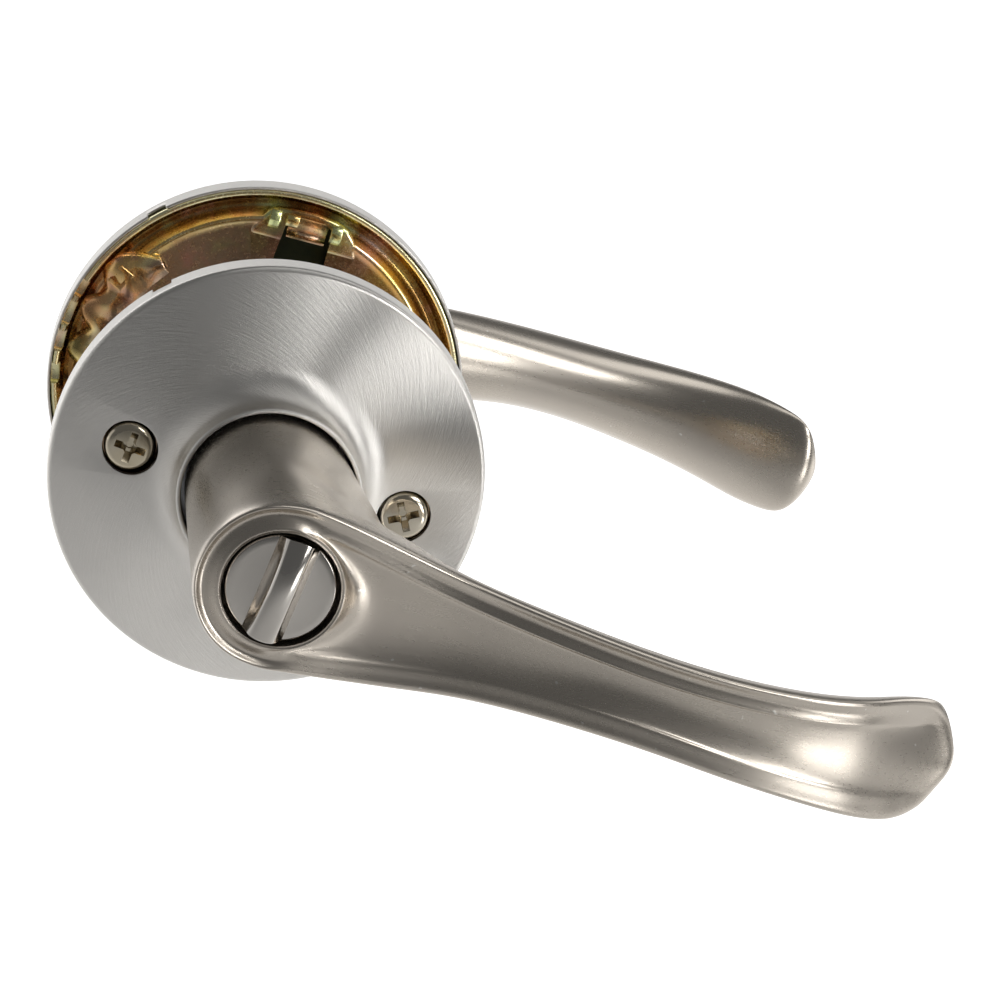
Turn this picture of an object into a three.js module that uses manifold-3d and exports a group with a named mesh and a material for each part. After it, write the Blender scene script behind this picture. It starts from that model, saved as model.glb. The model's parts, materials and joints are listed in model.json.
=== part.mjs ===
// Tubular privacy lever set: an inside lever with a turn button and an outside lever, each on a round
// rose, joined through the door by two machine screws and two threaded posts.
//
// Millimetres, +Z up. The spindle lies on the Y axis, the levers point along +X, and y = 0 is the
// middle of the door. The inside half is on the -Y side and the outside half on the +Y side.
// Both halves are drawn in one half frame (x, out, z), where out is the distance from y = 0,
// and the inside half is then mirrored.

import * as THREE from 'three';
import { mergeVertices } from 'three/addons/utils/BufferGeometryUtils.js';
import Module from 'manifold-3d';

const wasm = await Module();
wasm.setup();

// ---------------------------------------------------------------- driving dimensions

const DOOR_HALF = 20.25;          // half the space between the two roses
const GAP = 0.3;                  // running gap between neighbouring pieces
const INSIDE = -1;
const OUTSIDE = 1;

const ROSE_R = 33;
const ROSE_SHEET = 1.0;
const RIM_TOP = 24.3;             // where the straight rim band ends
const FACE_EDGE = { r: 32.5, out: 25.0 };
const FLARE = { r: 19.4, out: 33.6, radius: 5.6 };
const COLLAR_TOP = 34.5;
const MOUTH_R = 13.2;

const SCREW_X = 21.3;             // distance of each screw and post from the spindle axis
const ROSE_SCREW_HOLE_R = 4.4;
const SCREW_HEAD_R = 3.9;
const SCREW_SHANK_R = 2.05;
const SCREW_SEAT = 24.9;
const SCREW_HEAD_TOP = 27.1;
const SCREW_RECESS = { half: 2.2, halfWidth: 0.45, depth: 1.5 };
const SCREW_END = -8;             // how far the screw reaches past the door's middle
const POST_R = 3.8;
const POST_BORE_R = 2.4;
const POST_BORE_END = 18;

const PRY_SLOT = { angle: 133.7, width: 3.2, depth: 1.7 };

const PLATE_SHEET = 0.9;
const PLATE_R = 31.7;
const PLATE_FACE = 21.6;          // door side of the raised middle of the plate
const PLATE_GROOVE = 23.2;        // door side of the groove round it
const PLATE_HOLE_R = 10.6;
const PLATE_EDGE = DOOR_HALF + 0.35;
const PLATE_SEAT = { r: 4.1, boreR: 2.6 };
const WINDOW = { left: -2.9, right: 5.4, low: 19.5, high: 26.6 };
const LUG = { width: 1.4, low: 20.5, high: 26.2, rise: 1.2 };
const RIM_TAB = { inner: 25.6, outer: 30.0, halfWidth: 3.4, rise: 1.1, angle: 155 };
const RIVET = { boreR: 3.1, neckR: 2.8, headR: 4.2, topR: 3.6, rise: 1.1 };

const CAGE_R = 16.6;
const CAGE_WALL = 0.8;
const CAGE_FLOOR = 22.8;
const CAGE_TOP = 27.2;
const CAGE_HOLE_R = 11.0;
const CAGE_SLOT = { halfWidth: 2.6, height: 1.9 };
const SPRING_R = 14;
const SPRING_WIRE_R = 0.5;
const SPRING_TURNS = 1.5;
const SPRING_PITCH = 1.25;
const SPRING_STEPS = 13;          // straight steps in one turn
const SPRING_RISE = 0.7;          // first turn above the floor of the cage

const TUBE_R = 9.2;
const TUBE_BORE_R = 7.2;
const TUBE_END = 60;
const FLANGE_R = 11.6;
const FLANGE = { start: 23.0, end: 24.2 };
const SOCKET_END = 26.0;
const BUSHING = { outerR: 10.6, lipR: 12.2, depth: 1.6, lip: 1.0 };
const RETAINER = { r: 11.6, start: 28.5, end: 29.3, gap: 4 };
const WASHER = { r: 12.2, start: 29.6, end: 30.3 };
const SPINDLE_HALF = 3.8;
const SPINDLE_BORE_R = 2.4;
const SPINDLE_INSIDE_END = -30;
const SPINDLE_OUTSIDE_END = 28;

const NECK_R = 12.5;
const NECK_START = 30.6;
const NECK_BORE_R = 9.6;
const HUB_FACE = 74.4;
const WEB = { start: 62.6, end: 66.4 };
const BUTTON_HOLE_R = 8.54;
const BUTTON_R = 8.0;
const BUTTON_FACE = 73.9;
const BUTTON_BACK = 71.0;
const GRIP_TOP = 77.0;
const STEM_R = 3.6;
const STEM_END = 61.0;
const STEM_SLOT = { halfWidth: 1.1, half: 2.1, end: 67.2 };
const GRIP = { root: 3.0, half: 1.5, waist: 1.7, turn: 6.5 };
const CLIP_R = 6.2;
const PRIVACY_BAR = { halfWidth: 0.8, half: 1.8, start: -58, end: 66.6 };
const RELEASE_HOLE_R = 1.5;

const CATCH = { out: 44, nubR: 1.5, holeR: 1.9, leaf: 6.5, thick: 0.6, width: 4, front: 12, back: 4 };

// The blade's sections along X: the z of its upper and lower edge, how far out its front rims and
// its back lie, and how deep the front is dished between the rims.
const BLADE = [
  { x: 0, upper: 11.9, lower: -11.9, rim: 72.9, back: 50.0, dish: 0.2 },
  { x: 8, upper: 11.6, lower: -12.0, rim: 72.6, back: 47.0, dish: 0.6 },
  { x: 14, upper: 10.4, lower: -11.9, rim: 72.0, back: 49.0, dish: 1.4 },
  { x: 20, upper: 8.7, lower: -11.5, rim: 71.4, back: 57.5, dish: 2.2 },
  { x: 30, upper: 6.6, lower: -10.4, rim: 71.8, back: 63.5, dish: 2.6 },
  { x: 40, upper: 6.2, lower: -9.0, rim: 75.2, back: 66.8, dish: 2.4 },
  { x: 52, upper: 5.4, lower: -8.4, rim: 78.5, back: 70.0, dish: 2.0 },
  { x: 66, upper: 5.1, lower: -9.6, rim: 79.2, back: 71.0, dish: 1.8 },
  { x: 80, upper: 5.5, lower: -11.3, rim: 77.2, back: 69.2, dish: 1.8 },
  { x: 90, upper: 6.0, lower: -12.8, rim: 72.9, back: 65.4, dish: 1.6 },
  { x: 96, upper: 5.9, lower: -13.2, rim: 69.0, back: 62.4, dish: 1.2 },
  { x: 100, upper: 4.0, lower: -11.8, rim: 66.6, back: 61.2, dish: 0.7 },
  { x: 102.4, upper: 0.6, lower: -8.2, rim: 65.6, back: 61.6, dish: 0.3 },
  { x: 103.2, upper: -2.2, lower: -5.2, rim: 64.9, back: 62.4, dish: 0.1 },
];
const BLADE_STEPS = 28;
const FRONT_STEPS = 8;
const BACK_STEPS = 9;
const RIM_DROP = 1.1;             // how far the outermost edge lies behind the front rim

const ROUND = 36;                 // segments round a large turned piece
const BUTTON_ROUND = 32;
const TUBE_ROUND = 24;
const SMALL_ROUND = 16;
const MERGE_TOLERANCE = 1e-4;

// ---------------------------------------------------------------- finishes

const finish = (color, roughness, metalness) => ({ color, roughness, metalness });
const SATIN_NICKEL = finish(0xa8a298, 0.38, 1.0);
const BUTTON_NICKEL = finish(0xb4aea6, 0.22, 1.0);
const SCREW_NICKEL = finish(0xb9b3a6, 0.28, 1.0);
const YELLOW_ZINC = finish(0xb08a4e, 0.32, 1.0);
const BRIGHT_ZINC = finish(0xb2b4b6, 0.34, 1.0);
const SPRING_STEEL = finish(0x6c6a66, 0.4, 1.0);
const NYLON = finish(0xe6e2d6, 0.5, 0.0);

// ---------------------------------------------------------------- solids

/** Turns a closed geometry into a solid with its faces pointing out. */
function solid(geometry) {
  const bare = geometry.index ? geometry.toNonIndexed() : geometry.clone();
  bare.deleteAttribute('normal');
  bare.deleteAttribute('uv');
  const merged = mergeVertices(bare, MERGE_TOLERANCE);
  const index = merged.index.array;
  const position = merged.attributes.position;
  const corners = [];
  let volume = 0;
  const [a, b, c] = [new THREE.Vector3(), new THREE.Vector3(), new THREE.Vector3()];
  for (let i = 0; i < index.length; i += 3) {
    const [p, q, r] = [index[i], index[i + 1], index[i + 2]];
    if (p === q || q === r || r === p) continue;
    corners.push([p, q, r]);
    a.fromBufferAttribute(position, p);
    b.fromBufferAttribute(position, q);
    c.fromBufferAttribute(position, r);
    volume += a.dot(b.cross(c));
  }
  const outward = volume > 0 ? corners : corners.map(([p, q, r]) => [p, r, q]);
  return new wasm.Manifold(new wasm.Mesh({
    numProp: 3,
    vertProperties: new Float32Array(position.array),
    triVerts: new Uint32Array(outward.flat()),
  }));
}

/** Turns a profile of [radius, out] points about the Y axis. */
function turned(profile, segments = ROUND) {
  const points = profile.map(([r, out]) => new THREE.Vector2(r, out));
  return solid(new THREE.LatheGeometry(points, segments));
}

/** A turned piece whose profile closes on itself, so that it has a hole through it. */
function ring(profile, segments = ROUND) {
  return turned([...profile, profile[0]], segments);
}

/** A plain sleeve between two radii. */
function sleeve(inner, outer, start, end, segments = ROUND) {
  return ring([[inner, start], [outer, start], [outer, end], [inner, end]], segments);
}

/** A cylinder parallel to Y. */
function peg(radius, start, end, x = 0, z = 0, segments = SMALL_ROUND) {
  const geometry = new THREE.CylinderGeometry(radius, radius, end - start, segments);
  geometry.translate(x, (start + end) / 2, z);
  return solid(geometry);
}

/** A box from its lowest to its highest corner. */
function block(low, high) {
  const size = high.map((value, i) => value - low[i]);
  const geometry = new THREE.BoxGeometry(...size);
  geometry.translate(...low.map((value, i) => value + size[i] / 2));
  return solid(geometry);
}

/** A box laid radially at an angle about the Y axis, measured from +X towards +Z. */
function radialBlock(low, high, degrees) {
  return block(low, high).rotate([0, -degrees, 0]);
}

/** The cylinder along Z that cuts the lever catch's hole at one distance below the spindle. */
function catchBore(depth) {
  const geometry = new THREE.CylinderGeometry(CATCH.holeR, CATCH.holeR, 8, SMALL_ROUND);
  geometry.rotateX(Math.PI / 2);
  geometry.translate(0, CATCH.out, -depth);
  return solid(geometry);
}

/** Points on an arc in the (radius, out) plane. */
function arc(centre, radius, fromDegrees, toDegrees, steps) {
  const points = [];
  for (let i = 0; i <= steps; i += 1) {
    const angle = THREE.MathUtils.degToRad(THREE.MathUtils.lerp(fromDegrees, toDegrees, i / steps));
    points.push([centre.r + radius * Math.cos(angle), centre.out + radius * Math.sin(angle)]);
  }
  return points;
}

// ---------------------------------------------------------------- assembly

const leverSet = new THREE.Group();

/** Adds one named piece, drawn in the half frame, on its side of the door. */
function add(name, body, look, side = OUTSIDE) {
  const { vertProperties, triVerts, numProp } = body.getMesh();
  const position = new Float32Array((vertProperties.length / numProp) * 3);
  for (let i = 0; i < position.length / 3; i += 1) {
    position.set(vertProperties.subarray(i * numProp, i * numProp + 3), i * 3);
  }
  const index = Array.from(triVerts);
  if (side === INSIDE) index.reverse();
  const geometry = new THREE.BufferGeometry();
  geometry.setAttribute('position', new THREE.BufferAttribute(position, 3));
  geometry.setIndex(index);
  geometry.scale(1, side, 1);
  geometry.computeVertexNormals();
  const mesh = new THREE.Mesh(geometry, new THREE.MeshStandardMaterial(look));
  mesh.name = name;
  leverSet.add(mesh);
}

/** The stamped rose: rim band, broad shallow cone and a flare up to the collar round the neck. */
function rose(side) {
  const inner = { ...FLARE, radius: FLARE.radius + ROSE_SHEET };
  const shell = ring([
    [ROSE_R, DOOR_HALF],
    [ROSE_R, RIM_TOP],
    [FACE_EDGE.r, FACE_EDGE.out],
    ...arc(FLARE, FLARE.radius, 261, 186, 5),
    [MOUTH_R + 0.55, COLLAR_TOP],
    [MOUTH_R, COLLAR_TOP - 0.4],
    [MOUTH_R, COLLAR_TOP - 1.6],
    ...arc(inner, inner.radius, 193, 261, 3),
    [FACE_EDGE.r - ROSE_SHEET, FACE_EDGE.out - ROSE_SHEET],
    [ROSE_R - ROSE_SHEET, RIM_TOP - ROSE_SHEET],
    [ROSE_R - ROSE_SHEET, DOOR_HALF],
  ]);
  const slot = radialBlock(
    [ROSE_R - 2, DOOR_HALF - 1, -PRY_SLOT.width / 2],
    [ROSE_R + 1, DOOR_HALF + PRY_SLOT.depth, PRY_SLOT.width / 2],
    PRY_SLOT.angle,
  );
  let body = shell.subtract(slot);
  if (side === INSIDE) {
    for (const x of [-SCREW_X, SCREW_X]) {
      body = body.subtract(peg(ROSE_SCREW_HOLE_R, DOOR_HALF, COLLAR_TOP, x));
    }
  }
  return body;
}

/** The dished plate inside the rose: rim wall, groove and raised middle. */
function dishedPlate() {
  return ring([
    [PLATE_HOLE_R, PLATE_FACE],
    [27.5, PLATE_FACE],
    [28.6, PLATE_GROOVE],
    [30.2, PLATE_GROOVE],
    [PLATE_R - PLATE_SHEET, PLATE_GROOVE - 0.7],
    [PLATE_R - PLATE_SHEET, PLATE_EDGE],
    [PLATE_R, PLATE_EDGE],
    [PLATE_R, PLATE_GROOVE],
    [PLATE_R - PLATE_SHEET, PLATE_GROOVE + PLATE_SHEET],
    [28.2, PLATE_GROOVE + PLATE_SHEET],
    [27.1, PLATE_FACE + PLATE_SHEET],
    [PLATE_HOLE_R, PLATE_FACE + PLATE_SHEET],
  ]);
}

/** The inside plate carries a raised seat for each screw head. */
function insidePlate() {
  const back = PLATE_FACE + PLATE_SHEET;
  let body = dishedPlate();
  for (const x of [-SCREW_X, SCREW_X]) {
    body = body.add(peg(PLATE_SEAT.r, back - 0.5, SCREW_SEAT - GAP, x));
    body = body.subtract(peg(PLATE_SEAT.boreR, PLATE_FACE - 1, SCREW_SEAT, x));
  }
  return body;
}

/** The outside plate holds the two posts and has a window with two bent lugs beside it. */
function outsidePlate() {
  const back = PLATE_FACE + PLATE_SHEET;
  const window = block(
    [WINDOW.left, PLATE_FACE - 1, WINDOW.low],
    [WINDOW.right, back + 2, WINDOW.high],
  );
  let body = dishedPlate().subtract(window);
  for (const x of [-SCREW_X, SCREW_X]) {
    body = body.subtract(peg(RIVET.boreR, PLATE_FACE - 1, back + 1, x));
  }
  for (const left of [WINDOW.left - LUG.width - 0.1, WINDOW.right + 0.1]) {
    body = body.add(block(
      [left, PLATE_FACE - LUG.rise, LUG.low],
      [left + LUG.width, back - 0.1, LUG.high],
    ));
  }
  return body.add(radialBlock(
    [RIM_TAB.inner, PLATE_FACE - RIM_TAB.rise, -RIM_TAB.halfWidth],
    [RIM_TAB.outer, PLATE_FACE + 0.2, RIM_TAB.halfWidth],
    RIM_TAB.angle,
  ));
}

/** The cup over the return spring. */
function springCage() {
  const cup = ring([
    [CAGE_R - CAGE_WALL, CAGE_FLOOR],
    [CAGE_R, CAGE_FLOOR],
    [CAGE_R, CAGE_TOP - 0.6],
    [CAGE_R - 0.6, CAGE_TOP],
    [CAGE_HOLE_R, CAGE_TOP],
    [CAGE_HOLE_R, CAGE_TOP - CAGE_WALL],
    [CAGE_R - CAGE_WALL, CAGE_TOP - CAGE_WALL],
  ]);
  return cup.subtract(radialBlock(
    [CAGE_R - 2, CAGE_FLOOR - 1, -CAGE_SLOT.halfWidth],
    [CAGE_R + 1, CAGE_FLOOR + CAGE_SLOT.height, CAGE_SLOT.halfWidth],
    90,
  ));
}

/** The torsion spring: a helix whose first end turns out through the slot in the cage. */
function returnSpring() {
  const turns = [new THREE.Vector3(0, CAGE_FLOOR + SPRING_RISE, CAGE_R + 1.0)];
  const steps = Math.round(SPRING_TURNS * SPRING_STEPS);
  for (let i = 0; i <= steps; i += 1) {
    const angle = Math.PI / 2 + 0.12 + (i / SPRING_STEPS) * 2 * Math.PI;
    const height = CAGE_FLOOR + SPRING_RISE + (i / SPRING_STEPS) * SPRING_PITCH;
    turns.push(new THREE.Vector3(SPRING_R * Math.cos(angle), height, SPRING_R * Math.sin(angle)));
  }
  const section = new THREE.Shape();
  section.absarc(0, 0, SPRING_WIRE_R, 0, 2 * Math.PI);
  return solid(new THREE.ExtrudeGeometry(section, {
    steps: steps + 2,
    curveSegments: 4,
    bevelEnabled: false,
    extrudePath: new THREE.CatmullRomCurve3(turns),
  }));
}

/** The flanged tube that carries the lever, with a square socket for the spindle. */
function driveTube() {
  const body = ring([
    [2, FLANGE.start],
    [FLANGE_R, FLANGE.start],
    [FLANGE_R, FLANGE.end],
    [TUBE_R, FLANGE.end],
    [TUBE_R, TUBE_END],
    [TUBE_BORE_R, TUBE_END],
    [TUBE_BORE_R, SOCKET_END],
    [2, SOCKET_END],
  ], TUBE_ROUND);
  const half = SPINDLE_HALF + GAP;
  const socket = block([-half, FLANGE.start - 1, -half], [half, SOCKET_END + 1, half]);
  return body.subtract(socket).subtract(catchBore(TUBE_R));
}

/** A flanged bushing that lines the hole in the cage's top. */
function bushing() {
  return ring([
    [TUBE_R + 0.35, CAGE_TOP - BUSHING.depth],
    [BUSHING.outerR, CAGE_TOP - BUSHING.depth],
    [BUSHING.outerR, CAGE_TOP + GAP],
    [BUSHING.lipR, CAGE_TOP + GAP],
    [BUSHING.lipR, CAGE_TOP + BUSHING.lip],
    [TUBE_R + 0.35, CAGE_TOP + BUSHING.lip],
  ], TUBE_ROUND);
}

/** A C-shaped ring on the tube. */
function retainingRing() {
  const full = sleeve(TUBE_R + GAP, RETAINER.r, RETAINER.start, RETAINER.end, TUBE_ROUND);
  const half = RETAINER.gap / 2;
  return full.subtract(block(
    [-half, RETAINER.start - 1, -RETAINER.r - 2],
    [half, RETAINER.end + 1, 2 - TUBE_R],
  ));
}

/** The washer between the retaining ring and the end of the lever's neck. */
function thrustWasher() {
  return sleeve(TUBE_R + GAP, WASHER.r, WASHER.start, WASHER.end, TUBE_ROUND);
}

/** The closed section of the blade at one place along X. */
function bladeSection(place) {
  const middle = (place.upper + place.lower) / 2;
  const half = (place.upper - place.lower) / 2;
  const points = [];
  for (let i = 0; i <= FRONT_STEPS; i += 1) {
    const across = -1 + (2 * i) / FRONT_STEPS;
    const edge = Math.abs(across) > 0.99 ? RIM_DROP : 0;
    const hollow = place.dish * Math.max(0, 1 - (across / 0.8) ** 2);
    points.push([place.x, place.rim - edge - hollow, middle + half * across]);
  }
  const depth = place.rim - RIM_DROP - place.back;
  for (let i = 1; i < BACK_STEPS; i += 1) {
    const angle = Math.PI / 2 - (Math.PI * i) / BACK_STEPS;
    const bulge = Math.cos(angle) ** 0.85;
    points.push([place.x, place.rim - RIM_DROP - depth * bulge, middle + half * Math.sin(angle)]);
  }
  return points;
}

/** The blade's section values at a share of its length, smoothly between the listed sections. */
function bladePlace(share) {
  const fields = Object.keys(BLADE[0]);
  const place = {};
  for (const field of fields) {
    const curve = new THREE.SplineCurve(BLADE.map((row, i) => new THREE.Vector2(i, row[field])));
    place[field] = curve.getPoint(share).y;
  }
  return place;
}

/** The blade as one loft along X, closed by a fan at each end. */
function blade() {
  const rings = [];
  for (let i = 0; i <= BLADE_STEPS; i += 1) rings.push(bladeSection(bladePlace(i / BLADE_STEPS)));
  const count = rings[0].length;
  const position = rings.flat(2);
  const index = [];
  for (let i = 0; i < BLADE_STEPS; i += 1) {
    for (let j = 0; j < count; j += 1) {
      const [a, b] = [i * count + j, i * count + ((j + 1) % count)];
      index.push(a, b, a + count, b, b + count, a + count);
    }
  }
  for (const [at, flip] of [[0, true], [BLADE_STEPS, false]]) {
    const centre = position.length / 3;
    const middle = [0, 1, 2].map((axis) => rings[at].reduce((sum, p) => sum + p[axis], 0) / count);
    position.push(...middle);
    for (let j = 0; j < count; j += 1) {
      const [a, b] = [at * count + j, at * count + ((j + 1) % count)];
      index.push(...(flip ? [centre, b, a] : [centre, a, b]));
    }
  }
  const geometry = new THREE.BufferGeometry();
  geometry.setAttribute('position', new THREE.Float32BufferAttribute(position, 3));
  geometry.setIndex(index);
  return solid(geometry);
}

/** The cast lever: neck, hub and blade in one piece, bored for the tube. */
function lever(side) {
  const hub = turned([
    [0, NECK_START],
    [NECK_R, NECK_START],
    [NECK_R, HUB_FACE - 1.0],
    [NECK_R - 0.6, HUB_FACE - 0.1],
    [10.7, HUB_FACE - 1.2],
    [9.4, HUB_FACE - 0.3],
    [9.0, HUB_FACE],
    [0, HUB_FACE],
  ]);
  let body = hub.add(blade()).subtract(peg(NECK_BORE_R, NECK_START - 1, WEB.start, 0, 0, ROUND));
  if (side === INSIDE) {
    body = body.subtract(peg(BUTTON_HOLE_R, WEB.end, HUB_FACE + 2, 0, 0, ROUND));
    body = body.subtract(peg(STEM_R + 0.4, WEB.start - 1, WEB.end + 1));
  } else {
    body = body.subtract(peg(RELEASE_HOLE_R, WEB.start - 1, HUB_FACE + 2));
  }
  return body.subtract(catchBore(NECK_R));
}

/** The leaf inside the tube whose nub locks the lever's neck. */
function leverCatch() {
  const tip = NECK_R - 0.4;
  const root = CATCH.leaf - CATCH.thick / 2;
  const nub = new THREE.CylinderGeometry(CATCH.nubR, CATCH.nubR, tip - root, SMALL_ROUND);
  nub.rotateX(Math.PI / 2);
  nub.translate(0, CATCH.out, -(tip + root) / 2);
  const half = CATCH.width / 2;
  const leaf = block(
    [-half, CATCH.out - CATCH.front, -CATCH.leaf],
    [half, CATCH.out + CATCH.back, CATCH.thick - CATCH.leaf],
  );
  return leaf.add(solid(nub));
}

/** The round turn button with a raised grip bar across it and a stem behind. */
function turnButton() {
  const disc = turned([
    [0, STEM_END],
    [STEM_R, STEM_END],
    [STEM_R, BUTTON_BACK],
    [BUTTON_R, BUTTON_BACK],
    [BUTTON_R, BUTTON_FACE - 0.4],
    [BUTTON_R - 0.4, BUTTON_FACE],
    [0, BUTTON_FACE],
  ], BUTTON_ROUND);
  const section = new THREE.Shape();
  section.moveTo(-GRIP.root, BUTTON_FACE - 0.5);
  section.quadraticCurveTo(-GRIP.waist, BUTTON_FACE + 0.4, -GRIP.half, GRIP_TOP - 1.4);
  section.absarc(0, GRIP_TOP - GRIP.half, GRIP.half, Math.PI, 0, true);
  section.quadraticCurveTo(GRIP.waist, BUTTON_FACE + 0.4, GRIP.root, BUTTON_FACE - 0.5);
  section.closePath();
  const depth = 2 * BUTTON_R + 2;
  const bar = new THREE.ExtrudeGeometry(section, { depth, curveSegments: 6, bevelEnabled: false });
  bar.translate(0, 0, -depth / 2);
  bar.rotateY(THREE.MathUtils.degToRad(GRIP.turn));
  const edge = peg(BUTTON_R - 0.15, BUTTON_BACK, GRIP_TOP + 1, 0, 0, BUTTON_ROUND);
  const slot = block(
    [-STEM_SLOT.halfWidth, STEM_END - 1, -STEM_SLOT.half],
    [STEM_SLOT.halfWidth, STEM_SLOT.end, STEM_SLOT.half],
  );
  return disc.add(solid(bar).intersect(edge)).subtract(slot);
}

/** The C-shaped clip that holds the button's stem behind the web of the hub. */
function buttonClip() {
  const full = sleeve(STEM_R + GAP, CLIP_R, WEB.start - 1.1, WEB.start - GAP, SMALL_ROUND);
  return full.subtract(block([0, WEB.start - 3, -1.5], [8, WEB.start + 1, 1.5]));
}

/** A pan-head machine screw with a cross recess. */
function throughScrew(x) {
  const profile = [
    [0, SCREW_END],
    [SCREW_SHANK_R - 0.5, SCREW_END],
    [SCREW_SHANK_R, SCREW_END + 0.8],
    [SCREW_SHANK_R, SCREW_SEAT],
    [SCREW_HEAD_R, SCREW_SEAT],
    [SCREW_HEAD_R, SCREW_SEAT + 0.9],
    [SCREW_HEAD_R - 0.5, SCREW_HEAD_TOP - 0.6],
    [SCREW_HEAD_R - 1.6, SCREW_HEAD_TOP],
    [0, SCREW_HEAD_TOP],
  ];
  let body = turned(profile, SMALL_ROUND);
  const { half, halfWidth, depth } = SCREW_RECESS;
  for (const [alongX, alongZ] of [[half, halfWidth], [halfWidth, half]]) {
    body = body.subtract(block(
      [-alongX, SCREW_HEAD_TOP - depth, -alongZ],
      [alongX, SCREW_HEAD_TOP + 1, alongZ],
    ));
  }
  return body.translate([x, 0, 0]);
}

/** A threaded post riveted to the outside plate. */
function post(x) {
  return turned([
    [POST_BORE_R, SCREW_END],
    [POST_R, SCREW_END],
    [POST_R, PLATE_FACE - GAP],
    [RIVET.neckR, PLATE_FACE - GAP],
    [RIVET.neckR, PLATE_FACE + PLATE_SHEET + GAP],
    [RIVET.headR, PLATE_FACE + PLATE_SHEET + GAP],
    [RIVET.topR, PLATE_FACE + PLATE_SHEET + RIVET.rise],
    [0, PLATE_FACE + PLATE_SHEET + RIVET.rise],
    [0, POST_BORE_END],
    [POST_BORE_R, POST_BORE_END],
    [POST_BORE_R, SCREW_END],
  ], SMALL_ROUND).translate([x, 0, 0]);
}

/** The flat bar that the turn button twists inside the spindle. */
function privacyBar() {
  const { halfWidth, half, start, end } = PRIVACY_BAR;
  return block([-halfWidth, start, -half], [halfWidth, end, half]);
}

/** The hollow square spindle that turns with both levers. */
function spindle() {
  const bar = block(
    [-SPINDLE_HALF, SPINDLE_INSIDE_END, -SPINDLE_HALF],
    [SPINDLE_HALF, SPINDLE_OUTSIDE_END, SPINDLE_HALF],
  );
  return bar.subtract(peg(SPINDLE_BORE_R, SPINDLE_INSIDE_END - 1, SPINDLE_OUTSIDE_END + 1));
}

for (const [half, side] of [['inside', INSIDE], ['outside', OUTSIDE]]) {
  const outside = side === OUTSIDE;
  add(`${half}_rose`, rose(side), SATIN_NICKEL, side);
  add(`${half}_mounting_plate`, outside ? outsidePlate() : insidePlate(), YELLOW_ZINC, side);
  add(`${half}_spring_cage`, springCage(), BRIGHT_ZINC, side);
  add(`${half}_return_spring`, returnSpring(), SPRING_STEEL, side);
  add(`${half}_drive_tube`, driveTube(), BRIGHT_ZINC, side);
  add(`${half}_bushing`, bushing(), NYLON, side);
  add(`${half}_retaining_ring`, retainingRing(), SPRING_STEEL, side);
  add(`${half}_thrust_washer`, thrustWasher(), NYLON, side);
  add(`${half}_lever`, lever(side), SATIN_NICKEL, side);
  add(`${half}_lever_catch`, leverCatch(), SPRING_STEEL, side);
}
add('turn_button', turnButton(), BUTTON_NICKEL, INSIDE);
add('turn_button_clip', buttonClip(), SPRING_STEEL, INSIDE);
add('privacy_bar', privacyBar(), BRIGHT_ZINC, INSIDE);
for (const [name, x] of [['left', -SCREW_X], ['right', SCREW_X]]) {
  add(`through_screw_${name}`, throughScrew(x), SCREW_NICKEL, INSIDE);
  add(`post_${name}`, post(x), BRIGHT_ZINC, OUTSIDE);
}
add('spindle', spindle(), BRIGHT_ZINC, OUTSIDE);

export default leverSet;
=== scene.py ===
"""Looks of a satin nickel privacy lever set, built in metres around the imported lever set.

The spindle lies on the Y axis, the levers point along +X, and y = 0 is the middle of the door.
The inside half is on the -Y side and the outside half is its mirror image on the +Y side, so both
are drawn in one half frame (x, out, z) in millimetres, where out is the distance from y = 0.
"""

import json
import logging
import math
from dataclasses import dataclass
from enum import Enum
from typing import Iterable, Sequence

import bmesh
import bpy
from mathutils import Matrix, Vector


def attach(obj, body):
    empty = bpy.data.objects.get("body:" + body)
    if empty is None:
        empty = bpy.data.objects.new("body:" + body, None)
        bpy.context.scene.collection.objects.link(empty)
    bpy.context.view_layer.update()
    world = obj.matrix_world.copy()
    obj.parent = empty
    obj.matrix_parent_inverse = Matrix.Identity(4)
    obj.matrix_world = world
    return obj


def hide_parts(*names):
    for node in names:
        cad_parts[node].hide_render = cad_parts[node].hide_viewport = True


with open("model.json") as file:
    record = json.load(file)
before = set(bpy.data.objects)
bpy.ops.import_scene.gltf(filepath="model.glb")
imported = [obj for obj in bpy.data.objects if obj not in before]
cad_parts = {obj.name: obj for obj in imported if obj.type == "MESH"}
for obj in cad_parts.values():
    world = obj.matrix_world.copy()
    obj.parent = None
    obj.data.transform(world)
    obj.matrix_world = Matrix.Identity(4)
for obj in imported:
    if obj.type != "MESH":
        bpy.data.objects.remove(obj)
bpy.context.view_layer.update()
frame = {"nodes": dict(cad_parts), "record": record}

MM = 0.001
LOG = logging.getLogger("lever_set")

Piece = bpy.types.Object
Socket = bpy.types.NodeSocket
Point = tuple[float, float, float]
Tone = tuple[float, float, float]
Outline = Sequence[tuple[float, float]]
Profile = list[tuple[float, float]]


class Side(Enum):
    """The half of the set that a piece belongs to, as the sign of its Y."""

    INSIDE = -1
    OUTSIDE = 1


class Slot(Enum):
    """The record's material slots."""

    SATIN_NICKEL = "satin_nickel"
    BUTTON_NICKEL = "button_nickel"
    SCREW_NICKEL = "screw_nickel"
    YELLOW_ZINC = "yellow_zinc"
    BRIGHT_ZINC = "bright_zinc"
    SPRING_STEEL = "spring_steel"
    NYLON = "nylon"


# ------------------------------------------------------------------------------ mesh work


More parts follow.
